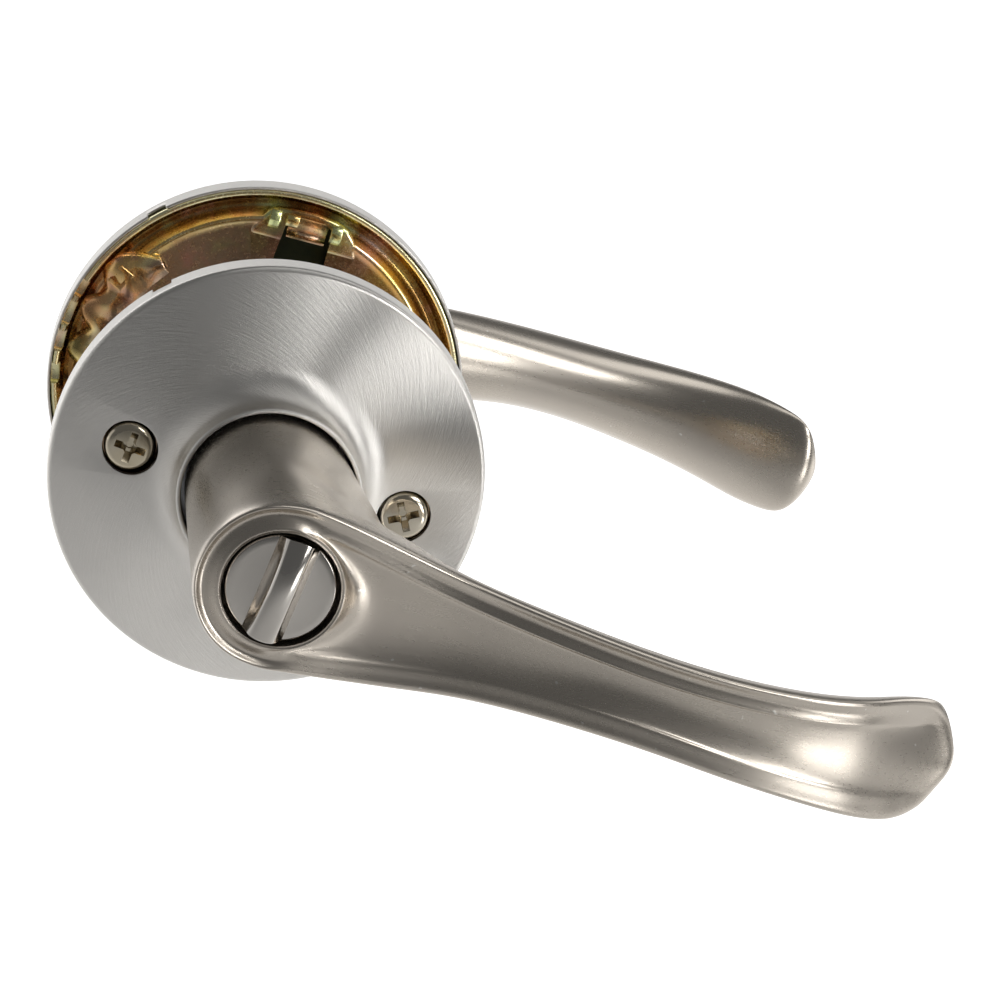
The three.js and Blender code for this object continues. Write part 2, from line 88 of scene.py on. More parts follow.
class Bench:
    """Mesh work with Blender's own operators, in the half frame and in millimetres."""

    @staticmethod
    def clear_selection() -> None:
        """Leaves edit mode and deselects everything."""
        if bpy.context.object and bpy.context.object.mode != "OBJECT":
            bpy.ops.object.mode_set(mode="OBJECT")
        bpy.ops.object.select_all(action="DESELECT")

    @staticmethod
    def select(piece: Piece) -> None:
        """Makes one piece the only selected and the active one.

        Args:
            piece: The piece.
        """
        Bench.clear_selection()
        piece.select_set(True)
        bpy.context.view_layer.objects.active = piece

    @staticmethod
    def edit(piece: Piece, mode: str = "VERT") -> None:
        """Opens a piece in edit mode with all of it selected.

        Args:
            piece: The piece.
            mode: The kind of selection, VERT or EDGE.
        """
        Bench.select(piece)
        bpy.ops.object.mode_set(mode="EDIT")
        bpy.ops.mesh.select_mode(type=mode)
        bpy.ops.mesh.select_all(action="SELECT")

    @staticmethod
    def done() -> None:
        """Leaves edit mode."""
        bpy.ops.object.mode_set(mode="OBJECT")

    @staticmethod
    def metres(point: Sequence[float]) -> Vector:
        """Turns a half-frame point in millimetres into metres."""
        return Vector(point) * MM

    @staticmethod
    def added(name: str) -> Piece:
        """Names the piece that was just added and settles it at the origin.

        Args:
            name: The piece's name.

        Returns:
            The piece, unrotated and unscaled.
        """
        piece = bpy.context.object
        piece.name = piece.data.name = name
        bpy.ops.object.transform_apply(location=True, rotation=True, scale=True)
        return piece

    @staticmethod
    def tidy(piece: Piece, distance: float = 0.004) -> None:
        """Merges doubles and turns the faces outward.

        Args:
            piece: The piece.
            distance: How close doubles lie, in millimetres.
        """
        Bench.edit(piece)
        bpy.ops.mesh.remove_doubles(threshold=distance * MM)
        bpy.ops.mesh.normals_make_consistent(inside=False)
        Bench.done()

    @staticmethod
    def loop(name: str, points: Sequence[Point]) -> Piece:
        """Adds a closed ring of edges and puts its corners on the given points.

        Args:
            name: The new piece's name.
            points: The ring's corners in order, in millimetres.

        Returns:
            The new piece.
        """
        Bench.clear_selection()
        bpy.ops.mesh.primitive_circle_add(vertices=len(points), radius=1.0, fill_type="NOTHING")
        piece = Bench.added(name)
        for vertex, point in zip(piece.data.vertices, points):
            vertex.co = Bench.metres(point)
        return piece

    @staticmethod
    def extrude_through(piece: Piece, rows: Sequence[Sequence[Point]]) -> None:
        """Extrudes the selected corners, each of which lies on a point of the first row.

        Args:
            piece: The piece in edit mode.
            rows: The first row and the ones that grow from it, all in the same order and length.
        """
        for before, after in zip(rows, rows[1:]):
            bpy.ops.mesh.extrude_region_move()
            mesh = bmesh.from_edit_mesh(piece.data)
            starts = [Bench.metres(point) for point in before]
            for vertex in (v for v in mesh.verts if v.select):
                nearest = min(range(len(starts)), key=lambda i: (starts[i] - vertex.co).length_squared)
                vertex.co = Bench.metres(after[nearest])
            bmesh.update_edit_mesh(piece.data)

    @staticmethod
    def select_path(piece: Piece, path: Sequence[Point], closed: bool) -> None:
        """Selects the edges that join neighbouring points of a path.

        Args:
            piece: The piece in edit mode.
            path: The path's points, in millimetres.
            closed: Whether the last point joins the first.
        """
        bpy.ops.mesh.select_all(action="DESELECT")
        mesh = bmesh.from_edit_mesh(piece.data)
        mesh.verts.ensure_lookup_table()
        found = []
        for point in path:
            target = Bench.metres(point)
            found.append(min(mesh.verts, key=lambda v: (v.co - target).length_squared))
        pairs = list(zip(found, found[1:]))
        if closed:
            pairs.append((found[-1], found[0]))
        for a, b in pairs:
            edge = mesh.edges.get((a, b))
            if edge:
                edge.select_set(True)
        mesh.select_flush_mode()
        bmesh.update_edit_mesh(piece.data)

    @staticmethod
    def spun(name: str, profile: Profile, steps: int = 96) -> Piece:
        """Turns a closed profile of (radius, out) points once round the Y axis.

        Args:
            name: The new piece's name.
            profile: The closed profile in millimetres.
            steps: How many steps the full turn takes.

        Returns:
            The turned piece, with its faces outward.
        """
        piece = Bench.loop(name, [(r, out, 0.0) for r, out in profile])
        Bench.edit(piece)
        bpy.ops.mesh.spin(steps=steps, angle=2 * math.pi, center=(0, 0, 0), axis=(0, 1, 0))
        Bench.done()
        Bench.tidy(piece)
        return piece

    @staticmethod
    def loft(name: str, rows: Sequence[Sequence[Point]]) -> Piece:
        """Extrudes a closed face through rows of corners.

        Args:
            name: The new piece's name.
            rows: The face's corners and where each extrusion takes them, in millimetres.

        Returns:
            The closed piece.
        """
        piece = Bench.loop(name, rows[0])
        Bench.edit(piece)
        bpy.ops.mesh.edge_face_add()
        Bench.extrude_through(piece, rows)
        Bench.done()
        Bench.tidy(piece)
        return piece

    @staticmethod
    def slab(name: str, outline: Outline, low: float, high: float, round_by: float = 0.0) -> Piece:
        """Extrudes a closed outline of (x, z) points along the out axis and rounds its edges.

        Args:
            name: The new piece's name.
            outline: The closed outline in millimetres.
            low: Where it starts along out.
            high: Where it ends.
            round_by: The width of the bevel along its edges, or 0 for none.

        Returns:
            The closed slab.
        """
        piece = Bench.loft(name, [[(x, out, z) for x, z in outline] for out in (low, high)])
        if round_by:
            Bench.round_edges(piece, round_by, 3, 30.0)
        return piece

    @staticmethod
    def block(name: str, low: Point, high: Point, bevel: float) -> Piece:
        """Adds a box between two corners, with its edges bevelled in edit mode.

        Args:
            name: The new piece's name.
            low: The lowest corner in millimetres.
            high: The highest corner in millimetres.
            bevel: The bevel's width in millimetres.

        Returns:
            The box.
        """
        Bench.clear_selection()
        centre = [(a + b) / 2 * MM for a, b in zip(low, high)]
        size = [(b - a) * MM for a, b in zip(low, high)]
        bpy.ops.mesh.primitive_cube_add(size=1.0, location=centre, scale=size)
        piece = Bench.added(name)
        Bench.edit(piece)
        bpy.ops.mesh.bevel(offset=bevel * MM, segments=2, affect="EDGES")
        Bench.done()
        return piece

    @staticmethod
    def peg(name: str, radius: float, start: float, end: float, x: float = 0.0,
            tip_radius: float | None = None, sides: int = 48) -> Piece:
        """Adds a round peg along Y, tapered if tip_radius is given.

        Args:
            name: The new piece's name.
            radius: Its radius at start, in millimetres.
            start: Where it starts along the half frame's out axis.
            end: Where it ends.
            x: The axis's x.
            tip_radius: Its radius at end, if that differs.
            sides: How many sides stand for the round.

        Returns:
            The peg.
        """
        Bench.clear_selection()
        tip = radius if tip_radius is None else tip_radius
        bpy.ops.mesh.primitive_cone_add(
            vertices=sides, radius1=radius * MM, radius2=tip * MM, depth=(end - start) * MM,
            location=(x * MM, (start + end) / 2 * MM, 0.0), rotation=(-math.pi / 2, 0, 0))
        return Bench.added(name)

    @staticmethod
    def turn(piece: Piece, degrees: float) -> None:
        """Turns a piece about the Y axis, so that +X goes towards +Z."""
        piece.data.transform(Matrix.Rotation(math.radians(-degrees), 4, "Y"))

    @staticmethod
    def shift(piece: Piece, x: float) -> None:
        """Moves a piece's mesh along X by millimetres."""
        piece.data.transform(Matrix.Translation(Vector((x, 0, 0)) * MM))

    @staticmethod
    def mirror_to(piece: Piece, side: Side) -> None:
        """Puts a piece drawn in the half frame on its side of the door.

        Args:
            piece: The piece.
            side: The side it goes to.
        """
        if side is Side.INSIDE:
            piece.data.transform(Matrix.Scale(-1.0, 4, Vector((0, 1, 0))))
            piece.data.flip_normals()

    @staticmethod
    def modify(piece: Piece, kind: str, **settings: object) -> None:
        """Applies one modifier to a piece.

        Args:
            piece: The piece.
            kind: The modifier's type.
            **settings: Its properties.
        """
        Bench.select(piece)
        modifier = piece.modifiers.new(kind.lower(), kind)
        for key, value in settings.items():
            setattr(modifier, key, value)
        bpy.ops.object.modifier_apply(modifier=modifier.name)

    @staticmethod
    def combine(piece: Piece, other: Piece, how: str = "DIFFERENCE") -> None:
        """Applies one boolean of another piece to a piece, and removes the other.

        Args:
            piece: The piece that stays.
            other: The cutter, or the piece that joins it.
            how: DIFFERENCE, UNION or INTERSECT.
        """
        Bench.modify(piece, "BOOLEAN", operation=how, solver="EXACT", object=other)
        bpy.data.objects.remove(other, do_unlink=True)

    @staticmethod
    def join(piece: Piece, others: Iterable[Piece]) -> None:
        """Joins other pieces' meshes into one piece without cutting them.

        Args:
            piece: The piece that stays.
            others: The pieces that become part of it.
        """
        Bench.select(piece)
        for other in others:
            other.select_set(True)
        bpy.ops.object.join()

    @staticmethod
    def round_edges(piece: Piece, width: float, segments: int, angle: float) -> None:
        """Bevels every edge sharper than angle degrees by width millimetres."""
        Bench.modify(piece, "BEVEL", width=width * MM, segments=segments, limit_method="ANGLE",
                     angle_limit=math.radians(angle), use_clamp_overlap=True)

    @staticmethod
    def smooth(piece: Piece, angle: float) -> None:
        """Shades a piece smooth, keeping edges sharper than angle degrees."""
        Bench.select(piece)
        bpy.ops.object.shade_smooth_by_angle(angle=math.radians(angle))


def arc(centre: tuple[float, float], radius: float, start: float, end: float, steps: int) -> Profile:
    """Points on a round stretch of a profile.

    Args:
        centre: The middle of the round.
        radius: Its radius.
        start: The first point's angle in degrees.
        end: The last point's angle in degrees.
        steps: How many steps lie between them.

    Returns:
        The points in order.
    """
    angles = [math.radians(start + (end - start) * i / steps) for i in range(steps + 1)]
    return [(centre[0] + radius * math.cos(a), centre[1] + radius * math.sin(a)) for a in angles]


def smooth_through(keys: Sequence[float], values: Sequence[float], at: float) -> float:
    """The value at one place of a smooth curve through (key, value) points.

    Args:
        keys: The places, rising.
        values: The value at each place.
        at: The place asked for.

    Returns:
        The value of the Hermite curve whose slopes follow its neighbours.
    """
    last = len(keys) - 1
    i = max(k for k in range(last) if keys[k] <= at or k == 0)

    def slope(k: int) -> float:
        """The curve's slope at key k."""
        low, high = max(0, k - 1), min(last, k + 1)
        return (values[high] - values[low]) / (keys[high] - keys[low])

    span = keys[i + 1] - keys[i]
    t = (at - keys[i]) / span
    rise = values[i + 1] - values[i]
    a, b = slope(i) * span, slope(i + 1) * span
    return values[i] + t * a + t * t * (3 * rise - 2 * a - b) + t * t * t * (a + b - 2 * rise)


# ------------------------------------------------------------------------------ lever


@dataclass(frozen=True)
class Station:
    """One section of the blade. Sizes are millimetres in the half frame.

    x is where its two edges are, upper and lower their z, rim_upper and rim_lower how far out the
    crest of each edge lies, face the middle of the front, and back the middle of the back.
    front_lean and back_lean are how much further along X the middle of each side lies. border is how
    wide each raised border is, and cove and cove_lower how deep the borders are hollowed.
    back_bow sets how quickly back_lean fades towards the edges.
    """

    x: float
    upper: float
    lower: float
    rim_upper: float
    rim_lower: float
    face: float
    back: float
    front_lean: float
    back_lean: float
    border: float
    cove: float
    cove_lower: float
    back_bow: float = 1.5


@dataclass
class Lever:
    """The cast lever: neck, hub round the button hole and wave-shaped blade, one skin."""

    side: Side
    neck_radius: float = 12.5
    lip_radius: float = 9.15
    hole_radius: float = 8.54
    rim_out: float = 73.95
    lip_out: float = 74.45
    join_out: float = 55.0
    neck_start: float = 30.6
    nose: float = 6.0
    bore_radius: float = 9.6
    bore_depth: float = 14.0
    hole_floor: float = 66.4
    release_radius: float = 1.5
    edge_drop: float = 1.0
    edge_round: float = 0.6
    border_drop: float = 0.25
    cove_share: float = 0.55
    half_turn_steps: int = 8
    side_steps: int = 3
    border_rows: int = 3
    tip_stretch: float = 0.0
    stretch_start: float = 60.0
    stretch_reach: float = 43.0
    lift_degrees: float = 0.0

    stations = (
        Station(3.4, 12.35, -12.45, 73.9, 73.7, 72.7, 58.6, 6.9, 18.0, 3.1, 0.4, 0.2),
        Station(8.0, 11.5, -12.4, 73.5, 72.8, 71.0, 61.0, 5.0, 16.5, 3.1, 0.35, 0.15),
        Station(14.0, 10.0, -12.2, 72.6, 71.7, 70.4, 63.0, 3.2, 13.5, 3.2, 0.4, 0.12),
        Station(21.0, 8.2, -11.65, 71.8, 71.2, 70.2, 64.9, 1.6, 9.5, 3.3, 0.5, 0.1),
        Station(29.0, 6.7, -10.65, 72.2, 71.8, 70.9, 66.2, 0.5, 5.0, 3.3, 0.65, 0.1),
        Station(38.0, 6.0, -9.4, 74.9, 74.9, 73.7, 67.6, 0.0, 1.5, 3.3, 0.85, 0.1),
        Station(48.0, 5.4, -8.6, 77.4, 78.4, 76.7, 69.4, 0.0, 0.0, 3.3, 0.8, 0.1),
        Station(58.0, 4.85, -8.9, 78.8, 79.8, 78.2, 70.6, 0.0, 0.0, 3.3, 0.75, 0.1),
        Station(68.0, 4.6, -10.0, 79.0, 79.7, 78.3, 70.9, 0.0, 0.0, 3.3, 0.7, 0.1),
        Station(78.0, 4.75, -11.3, 77.8, 78.1, 77.0, 69.9, 0.2, 0.2, 3.4, 0.5, 0.1),
        Station(86.0, 5.1, -12.5, 75.0, 75.5, 74.2, 67.2, 0.5, 0.5, 3.6, 0.4, 0.08),
        Station(91.6, 5.35, -13.3, 71.3, 72.6, 70.9, 64.3, 1.1, 1.0, 3.8, 0.25, 0.05, 1.2),
        Station(96.0, 5.15, -13.4, 67.9, 70.1, 67.7, 61.9, 2.3, 2.0, 3.8, 0.12, 0.03, 1.0),
        Station(99.2, 4.5, -12.7, 65.4, 67.8, 65.4, 60.9, 3.4, 3.0, 3.2, 0.0, 0.0, 1.0),
    )
    front_shares = (0.0, 0.06, 0.2, 0.36, 0.5, 0.64, 0.8, 0.94, 1.0)

    def ring(self, radius: float, out: float, nose: float = 0.0) -> list[Point]:
        """A ring round the spindle axis with the hub's corner count, from its top round by +X.

        Args:
            radius: The ring's radius.
            out: How far out it lies.
            nose: How far it bulges towards the blade.

        Returns:
            The ring's corners.
        """
        count = 2 * self.half_turn_steps
        corners = []
        for i in range(count):
            angle = math.pi * (0.5 - 2 * i / count)
            bulge = nose * max(0.0, math.cos(angle)) ** 2.2
            corners.append(((radius + bulge) * math.cos(angle), out, radius * math.sin(angle)))
        return corners

    def front_start(self) -> list[Point]:
        """The front's first row: across the lower border, round the lip and across the upper border.

        Returns:
            The row, from the lower edge to the upper one.
        """
        lower = [
            (0.0, self.rim_out - self.edge_drop, -self.neck_radius),
            (0.0, self.rim_out, -self.neck_radius + self.edge_round),
            (0.0, self.rim_out - 0.6, -(self.lip_radius + self.neck_radius) / 2),
        ]
        angles = [math.pi * (i / self.half_turn_steps - 0.5) for i in range(self.half_turn_steps + 1)]
        lip = [(self.lip_radius * math.cos(a), self.lip_out, self.lip_radius * math.sin(a)) for a in angles]
        return lower + lip + [(x, out, -z) for x, out, z in reversed(lower)]

    def back_start(self) -> list[Point]:
        """The back's first row: down the hub's upper side, round the neck's nose and up its lower side.

        Returns:
            The row, without the two edges that it shares with the front.
        """
        edge = self.rim_out - self.edge_drop
        drop = (edge - self.join_out) / self.side_steps
        down = [(0.0, edge - drop * (i + 1), self.neck_radius) for i in range(self.side_steps - 1)]
        nose = self.ring(self.neck_radius, self.join_out, self.nose)[: self.half_turn_steps + 1]
        return down + nose + [(x, out, -z) for x, out, z in reversed(down)]

    def front(self, place: Station) -> list[Point]:
        """The front of the blade's section at one station.

        Args:
            place: The station.

        Returns:
            The row, from the lower edge to the upper one.
        """
        cove = place.border * self.cove_share
        row = [
            (place.x, place.rim_lower - self.edge_drop, place.lower),
            (place.x, place.rim_lower, place.lower + self.edge_round),
            (place.x, place.rim_lower - place.cove_lower, place.lower + cove),
        ]
        start = (place.rim_lower - self.border_drop, place.lower + place.border)
        end = (place.rim_upper - self.border_drop, place.upper - place.border)
        middle_drop = (start[0] + end[0]) / 2 - place.face
        for share in self.front_shares:
            bow = math.sin(math.pi * share)
            hollow = middle_drop * bow ** 0.6 if 0 < share < 1 else 0.0
            out = start[0] + (end[0] - start[0]) * share - hollow
            z = start[1] + (end[1] - start[1]) * share
            row.append((place.x + place.front_lean * bow, out, z))
        return row + [
            (place.x, place.rim_upper - place.cove, place.upper - cove),
            (place.x, place.rim_upper, place.upper - self.edge_round),
            (place.x, place.rim_upper - self.edge_drop, place.upper),
        ]

    def back(self, place: Station) -> list[Point]:
        """The back of the blade's section at one station.

        Args:
            place: The station.

        Returns:
            The row, from the upper edge to the lower one, without those edges.
        """
        middle = (place.upper + place.lower) / 2
        half = (place.upper - place.lower) / 2
        row = []
        steps = 2 * self.side_steps + self.half_turn_steps
        for i in range(1, steps):
            angle = math.pi * i / steps
            share = i / steps
            edge = (place.rim_upper * (1 - share) + place.rim_lower * share) - self.edge_drop
            bow = math.sin(angle)
            out = edge - (edge - place.back) * bow ** 0.85
            row.append((place.x + place.back_lean * bow ** place.back_bow, out,
                        middle + half * math.cos(angle)))
        return row

    def tip_row(self) -> list[Point]:
        """The tip's closing row, where the front and the back meet point by point.

        Returns:
            The row, from the lower edge across the front and back again.
        """
        count = len(self.front_start()) - 1
        row = []
        for i in range(count + 1):
            share = i / count
            bow = math.sin(math.pi * share)
            row.append((100.9 - 0.5 * share + 4.2 * bow, 65.9 - 2.7 * share, -11.3 + 14.6 * share))
        return row + list(reversed(row[1:-1]))

    def stretched(self, row: Sequence[Point]) -> list[Point]:
        """A row with its points beyond the blade's middle moved along X, most at the tip."""
        return [(x + self.tip_stretch * max(0.0, x - self.stretch_start) / self.stretch_reach, out, z)
                for x, out, z in row]

    def cage(self) -> Piece:
        """Builds the coarse skin: blade, hub, neck and holes, as a person would extrude them.

        Returns:
            The coarse skin.
        """
        first = self.front_start() + self.back_start()
        rows = [self.front(place) + self.back(place) for place in self.stations] + [self.tip_row()]
        piece = Bench.loop(f"{self.side.name.lower()}_lever_shell", first)
        Bench.edit(piece, "EDGE")
        Bench.extrude_through(piece, [first, *(self.stretched(row) for row in rows)])
        self.hub(piece, first)
        self.bore(piece, self.neck_rings())
        self.bore(piece, self.hole_rings())
        Bench.done()
        Bench.tidy(piece, 0.02)
        return piece

    def hub(self, piece: Piece, first: Sequence[Point]) -> None:
        """Spins the hub's left half from the upper rows round to the lower ones.

        Args:
            piece: The skin in edit mode.
            first: The first row of the front and the back.
        """
        lip_top = self.border_rows + self.half_turn_steps
        nose_top = len(self.front_start()) + self.side_steps - 1
        Bench.select_path(piece, first[lip_top:nose_top + 1], False)
        bpy.ops.mesh.spin(steps=self.half_turn_steps, angle=math.pi, center=(0, 0, 0), axis=(0, 1, 0))
        bpy.ops.mesh.select_all(action="SELECT")
        bpy.ops.mesh.remove_doubles(threshold=0.01 * MM)

    def bore(self, piece: Piece, rings: Sequence[Sequence[Point]]) -> None:
        """Extrudes an open edge through rings and closes the last one.

        Args:
            piece: The skin in edit mode.
            rings: The open edge and the rings that it grows through.
        """
        Bench.select_path(piece, rings[0], True)
        Bench.extrude_through(piece, rings)
        bpy.ops.mesh.fill_grid(span=self.half_turn_steps // 2)

    def neck_rings(self) -> list[list[Point]]:
        """The neck's rings: down from the hub, then in and up its bore.

        Returns:
            The rings, the hub's open edge first.
        """
        noses = ((self.join_out, self.nose), (47.5, 4.4), (40.5, 2.7), (35.0, 1.3),
                 (self.neck_start + 0.6, 0.2))
        bore = ((self.neck_radius - 0.5, 0.0), (self.bore_radius, 0.0), (self.bore_radius, 1.0),
                (self.bore_radius, self.bore_depth))
        return [self.ring(self.neck_radius, out, nose) for out, nose in noses] + [
            self.ring(radius, self.neck_start + depth) for radius, depth in bore]

    def hole_rings(self) -> list[list[Point]]:
        """The button hole's rings, or the outside lever's cap and its release hole.

        Returns:
            The rings, the lip first.
        """
        if self.side is Side.INSIDE:
            steps = (
                (self.hole_radius + 0.12, self.lip_out - 0.12),
                (self.hole_radius, self.lip_out - 0.7),
                (self.hole_radius, self.hole_floor + 0.8),
                (self.hole_radius - 0.8, self.hole_floor),
            )
        else:
            steps = (
                (self.lip_radius - 0.7, self.lip_out - 0.25),
                (self.lip_radius - 1.6, self.lip_out - 0.55),
                (self.release_radius + 2.4, self.lip_out - 0.6),
                (self.release_radius + 0.25, self.lip_out - 0.6),
                (self.release_radius, self.lip_out - 0.85),
                (self.release_radius, self.hole_floor),
            )
        return [self.ring(radius, out) for radius, out in ((self.lip_radius, self.lip_out), *steps)]

    @staticmethod
    def fit(piece: Piece, rounds: int = 5) -> None:
        """Moves the coarse corners until the subdivided skin passes through their drawn places.

        The correction fades to nothing at the tip, where the rows close up.

        Args:
            piece: The coarse skin.
            rounds: How many corrections are made.
        """
        fixed_from, fade_span, step = 100.0 * MM, 8.0 * MM, 0.8
        drawn = [vertex.co.copy() for vertex in piece.data.vertices]
        modifier = piece.modifiers.new("fit", "SUBSURF")
        modifier.levels = modifier.render_levels = 1
        modifier.use_limit_surface = True
        for _ in range(rounds):
            skin = piece.evaluated_get(bpy.context.evaluated_depsgraph_get()).to_mesh()
            moves = [target - skin.vertices[i].co for i, target in enumerate(drawn)]
            for vertex, move in zip(piece.data.vertices, moves):
                vertex.co += move * step * min(1.0, max(0.0, (fixed_from - vertex.co.x) / fade_span))
            piece.data.update()
            piece.update_tag()
            bpy.context.view_layer.update()
        piece.modifiers.remove(modifier)

    def build(self) -> Piece:
        """Builds the finished lever.

        Returns:
            The lever's skin on its side of the door.
        """
        piece = self.cage()
        self.fit(piece)
        Bench.modify(piece, "SUBSURF", levels=3, render_levels=3)
        bpy.ops.object.shade_smooth()
        Bench.turn(piece, self.lift_degrees)
        Bench.mirror_to(piece, self.side)
        return piece


# ------------------------------------------------------------------------------ rose


@dataclass
class Rose:
    """The stamped rose: rim band, broad shallow cone and a flare up to the collar."""

    side: Side
    radius: float = 33.0
    sheet: float = 1.0
    edge_sheet: float = 0.4
    door_face: float = 20.25
    rim_top: float = 24.2
    rim_round: float = 1.0
    collar_top: float = 34.5
    collar_radius: float = 13.95
    collar_round: float = 0.38
    mouth_radius: float = 13.2
    flare_radius: float = 5.9
    flare_out: float = 33.4
    face_edge: tuple[float, float] = (32.35, 25.05)
    screw_x: float = 21.3
    hole_radius: float = 4.2
    slot_half: float = 1.6
    slot_angle: float = 133.7

    def profile(self) -> Profile:
        """The closed profile of the shell, from the rim's door face round its outside.

        Returns:
            The profile's (radius, out) points.
        """
        flare = (self.collar_radius + self.flare_radius, self.flare_out)
        collar = (self.collar_radius - self.collar_round, self.collar_top - self.collar_round)
        lip = self.radius - self.edge_sheet
        return [
            (self.radius - 0.15, self.door_face),
            (self.radius, self.door_face + 0.15),
            (self.radius, self.rim_top - 0.6),
            *arc((self.radius - self.rim_round, self.rim_top - 0.1), self.rim_round, 5, 75, 6),
            *arc(flare, self.flare_radius, 262, 180, 16),
            *arc(collar, self.collar_round, 10, 170, 6),
            (self.mouth_radius, self.collar_top - 1.4),
            *arc(flare, self.flare_radius + self.sheet, 190, 262, 8),
            (self.face_edge[0] - self.sheet, self.face_edge[1] - self.sheet),
            (self.radius - self.sheet, self.rim_top - self.sheet),
            (lip, self.door_face + 2.6),
            (lip, self.door_face + 0.1),
            (lip + 0.1, self.door_face),
        ]

    def build(self) -> Piece:
        """Spins the shell and cuts its slot and, on the inside half, its screw holes.

        Returns:
            The rose on its side of the door.
        """
        piece = Bench.spun(f"{self.side.name.lower()}_rose_shell", self.profile(), 160)
        slot = Bench.block("slot", (self.radius - 2, self.door_face - 1, -self.slot_half),
                           (self.radius + 1, self.door_face + 1.7, self.slot_half), 0.3)
        Bench.turn(slot, self.slot_angle)
        Bench.combine(piece, slot)
        if self.side is Side.INSIDE:
            for x in (-self.screw_x, self.screw_x):
                Bench.combine(piece, Bench.peg("drill", self.hole_radius, 22.0, 32.0, x, sides=64))
        Bench.round_edges(piece, 0.2, 3, 50.0)
        Bench.smooth(piece, 30.0)
        Bench.mirror_to(piece, self.side)
        return piece


# ------------------------------------------------------------------------------ plates


@dataclass
class MountingPlate:
    """The dished, stamped plate inside a rose: rim bead, deep groove, ridge and raised middle."""

    side: Side
    sheet: float = 0.9
    radius: float = 32.45
    face: float = 21.6
    groove: float = 23.5
    hole_radius: float = 10.6
    screw_x: float = 21.3
    screw_seat: float = 24.6
    screw_hole_radius: float = 2.6
    post_hole_radius: float = 3.1
    strap_sheet: float = 0.5
    strap_inner: float = 23.6
    strap_folds: float = 34.0
    strap_rows: int = 9
    lance_angle: float = 154.6

    pad = ((-7.6, 25.4), (-6.6, 27.0), (-5.6, 28.7), (-4.2, 29.3), (-1.2, 29.7), (2.0, 29.8), (5.2, 29.3),
           (7.4, 28.5), (8.7, 27.2), (9.5, 25.4), (9.9, 23.8), (-7.9, 24.0))
    window = ((-3.1, 18.6), (5.2, 18.9), (5.0, 27.6), (3.6, 28.5), (-0.6, 28.6), (-2.4, 27.9))
    rim_notches = ((164.5, 1.5), (172.6, 2.1), (181.2, 1.7), (191.0, 1.6))
    tabs = (
        ("flap", ((28.9, 21.5), (28.4, 21.9), (27.6, 22.6), (26.6, 23.3), (25.7, 23.5), (25.0, 23.1),
                  (24.8, 22.5)), -1.9, 4.4, 0.55),
        ("hook", ((28.6, 21.2), (28.2, 20.9), (27.4, 20.9), (26.9, 21.3), (26.8, 21.9)), -2.6, -0.6, 0.5),
        ("lug", ((28.7, 21.4), (28.1, 20.8), (27.1, 20.6), (26.3, 20.9), (25.8, 21.6)), 4.7, 6.5, 0.6),
        ("left_lug", ((28.9, 21.4), (28.2, 20.8), (27.4, 20.6), (26.6, 21.0), (26.0, 21.6)),
         -5.3, -3.6, 0.6),
    )
    strap = (
        (141, 26.0), (144, 27.6), (147, 29.2), (150, 30.3), (153, 30.6), (156, 30.5), (158.5, 29.5),
        (160.5, 28.5), (163, 28.7), (166, 30.0), (169, 30.5), (171.5, 29.8), (174, 28.2), (176.5, 28.4),
        (179, 29.6), (182, 30.2), (185, 29.6), (188, 28.0), (191, 28.6), (195, 29.8), (199, 28.0),
    )

    def profile(self) -> Profile:
        """The closed profile of the pressing, door side first.

        Returns:
            The profile's (radius, out) points.
        """
        back = self.face + self.sheet
        deep = self.groove + self.sheet
        return [
            (self.hole_radius, self.face),
            (26.2, self.face),
            *arc((27.35, self.face + 0.5), 0.75, 240, 330, 5),
            (28.7, self.groove - 0.5),
            (29.2, self.groove - 0.1),
            (29.7, self.groove),
            (30.4, self.groove - 0.1),
            (30.9, self.groove - 0.6),
            (31.2, self.groove - 1.3),
            *arc((31.95, 21.0), 0.5, 180, 360, 8),
            (self.radius, deep - 0.9),
            (32.1, deep - 0.25),
            (31.4, deep),
            (28.9, deep),
            (28.1, deep - 0.5),
            (27.4, back + 0.2),
            (26.8, back),
            (self.hole_radius, back),
        ]

    def build(self) -> Piece:
        """Spins the pressing and adds what its half needs.

        Returns:
            The plate on its side of the door.
        """
        piece = Bench.spun(f"{self.side.name.lower()}_plate_pressing", self.profile(), 180)
        if self.side is Side.INSIDE:
            self.seat_screws(piece)
        else:
            Bench.combine(piece, Bench.slab("pad", self.pad, self.face - 0.28, self.groove + 0.4, 0.75),
                          "UNION")
            self.cut_rim(piece)
            Bench.combine(piece, Bench.slab("window", self.window, self.face - 3, self.face + 5))
            for x in (-self.screw_x, self.screw_x):
                drill = Bench.peg("drill", self.post_hole_radius, self.face - 1, self.face + 3, x)
                Bench.combine(piece, drill)
            Bench.join(piece, [*(self.strip(*tab) for tab in self.tabs), self.bracket(), self.lance()])
        Bench.smooth(piece, 35.0)
        Bench.mirror_to(piece, self.side)
        return piece

    def seat_screws(self, piece: Piece) -> None:
        """Raises and drills the two screw seats.

        Args:
            piece: The pressing.
        """
        back, seat = self.face + self.sheet, self.screw_seat
        for x in (-self.screw_x, self.screw_x):
            Bench.combine(piece, Bench.peg("seat", 4.9, back - 0.4, seat, x, tip_radius=4.1), "UNION")
            Bench.combine(piece, Bench.peg("drill", self.screw_hole_radius, self.face - 1, seat + 1, x))

    def cut_rim(self, piece: Piece) -> None:
        """Cuts the notches in the rim bead at the left.

        Args:
            piece: The pressing.
        """
        for angle, half in self.rim_notches:
            notch = Bench.block("notch", (30.95, self.face - 3, -half), (34.0, self.face + 1.1, half), 0.4)
            Bench.turn(notch, angle)
            Bench.combine(piece, notch)

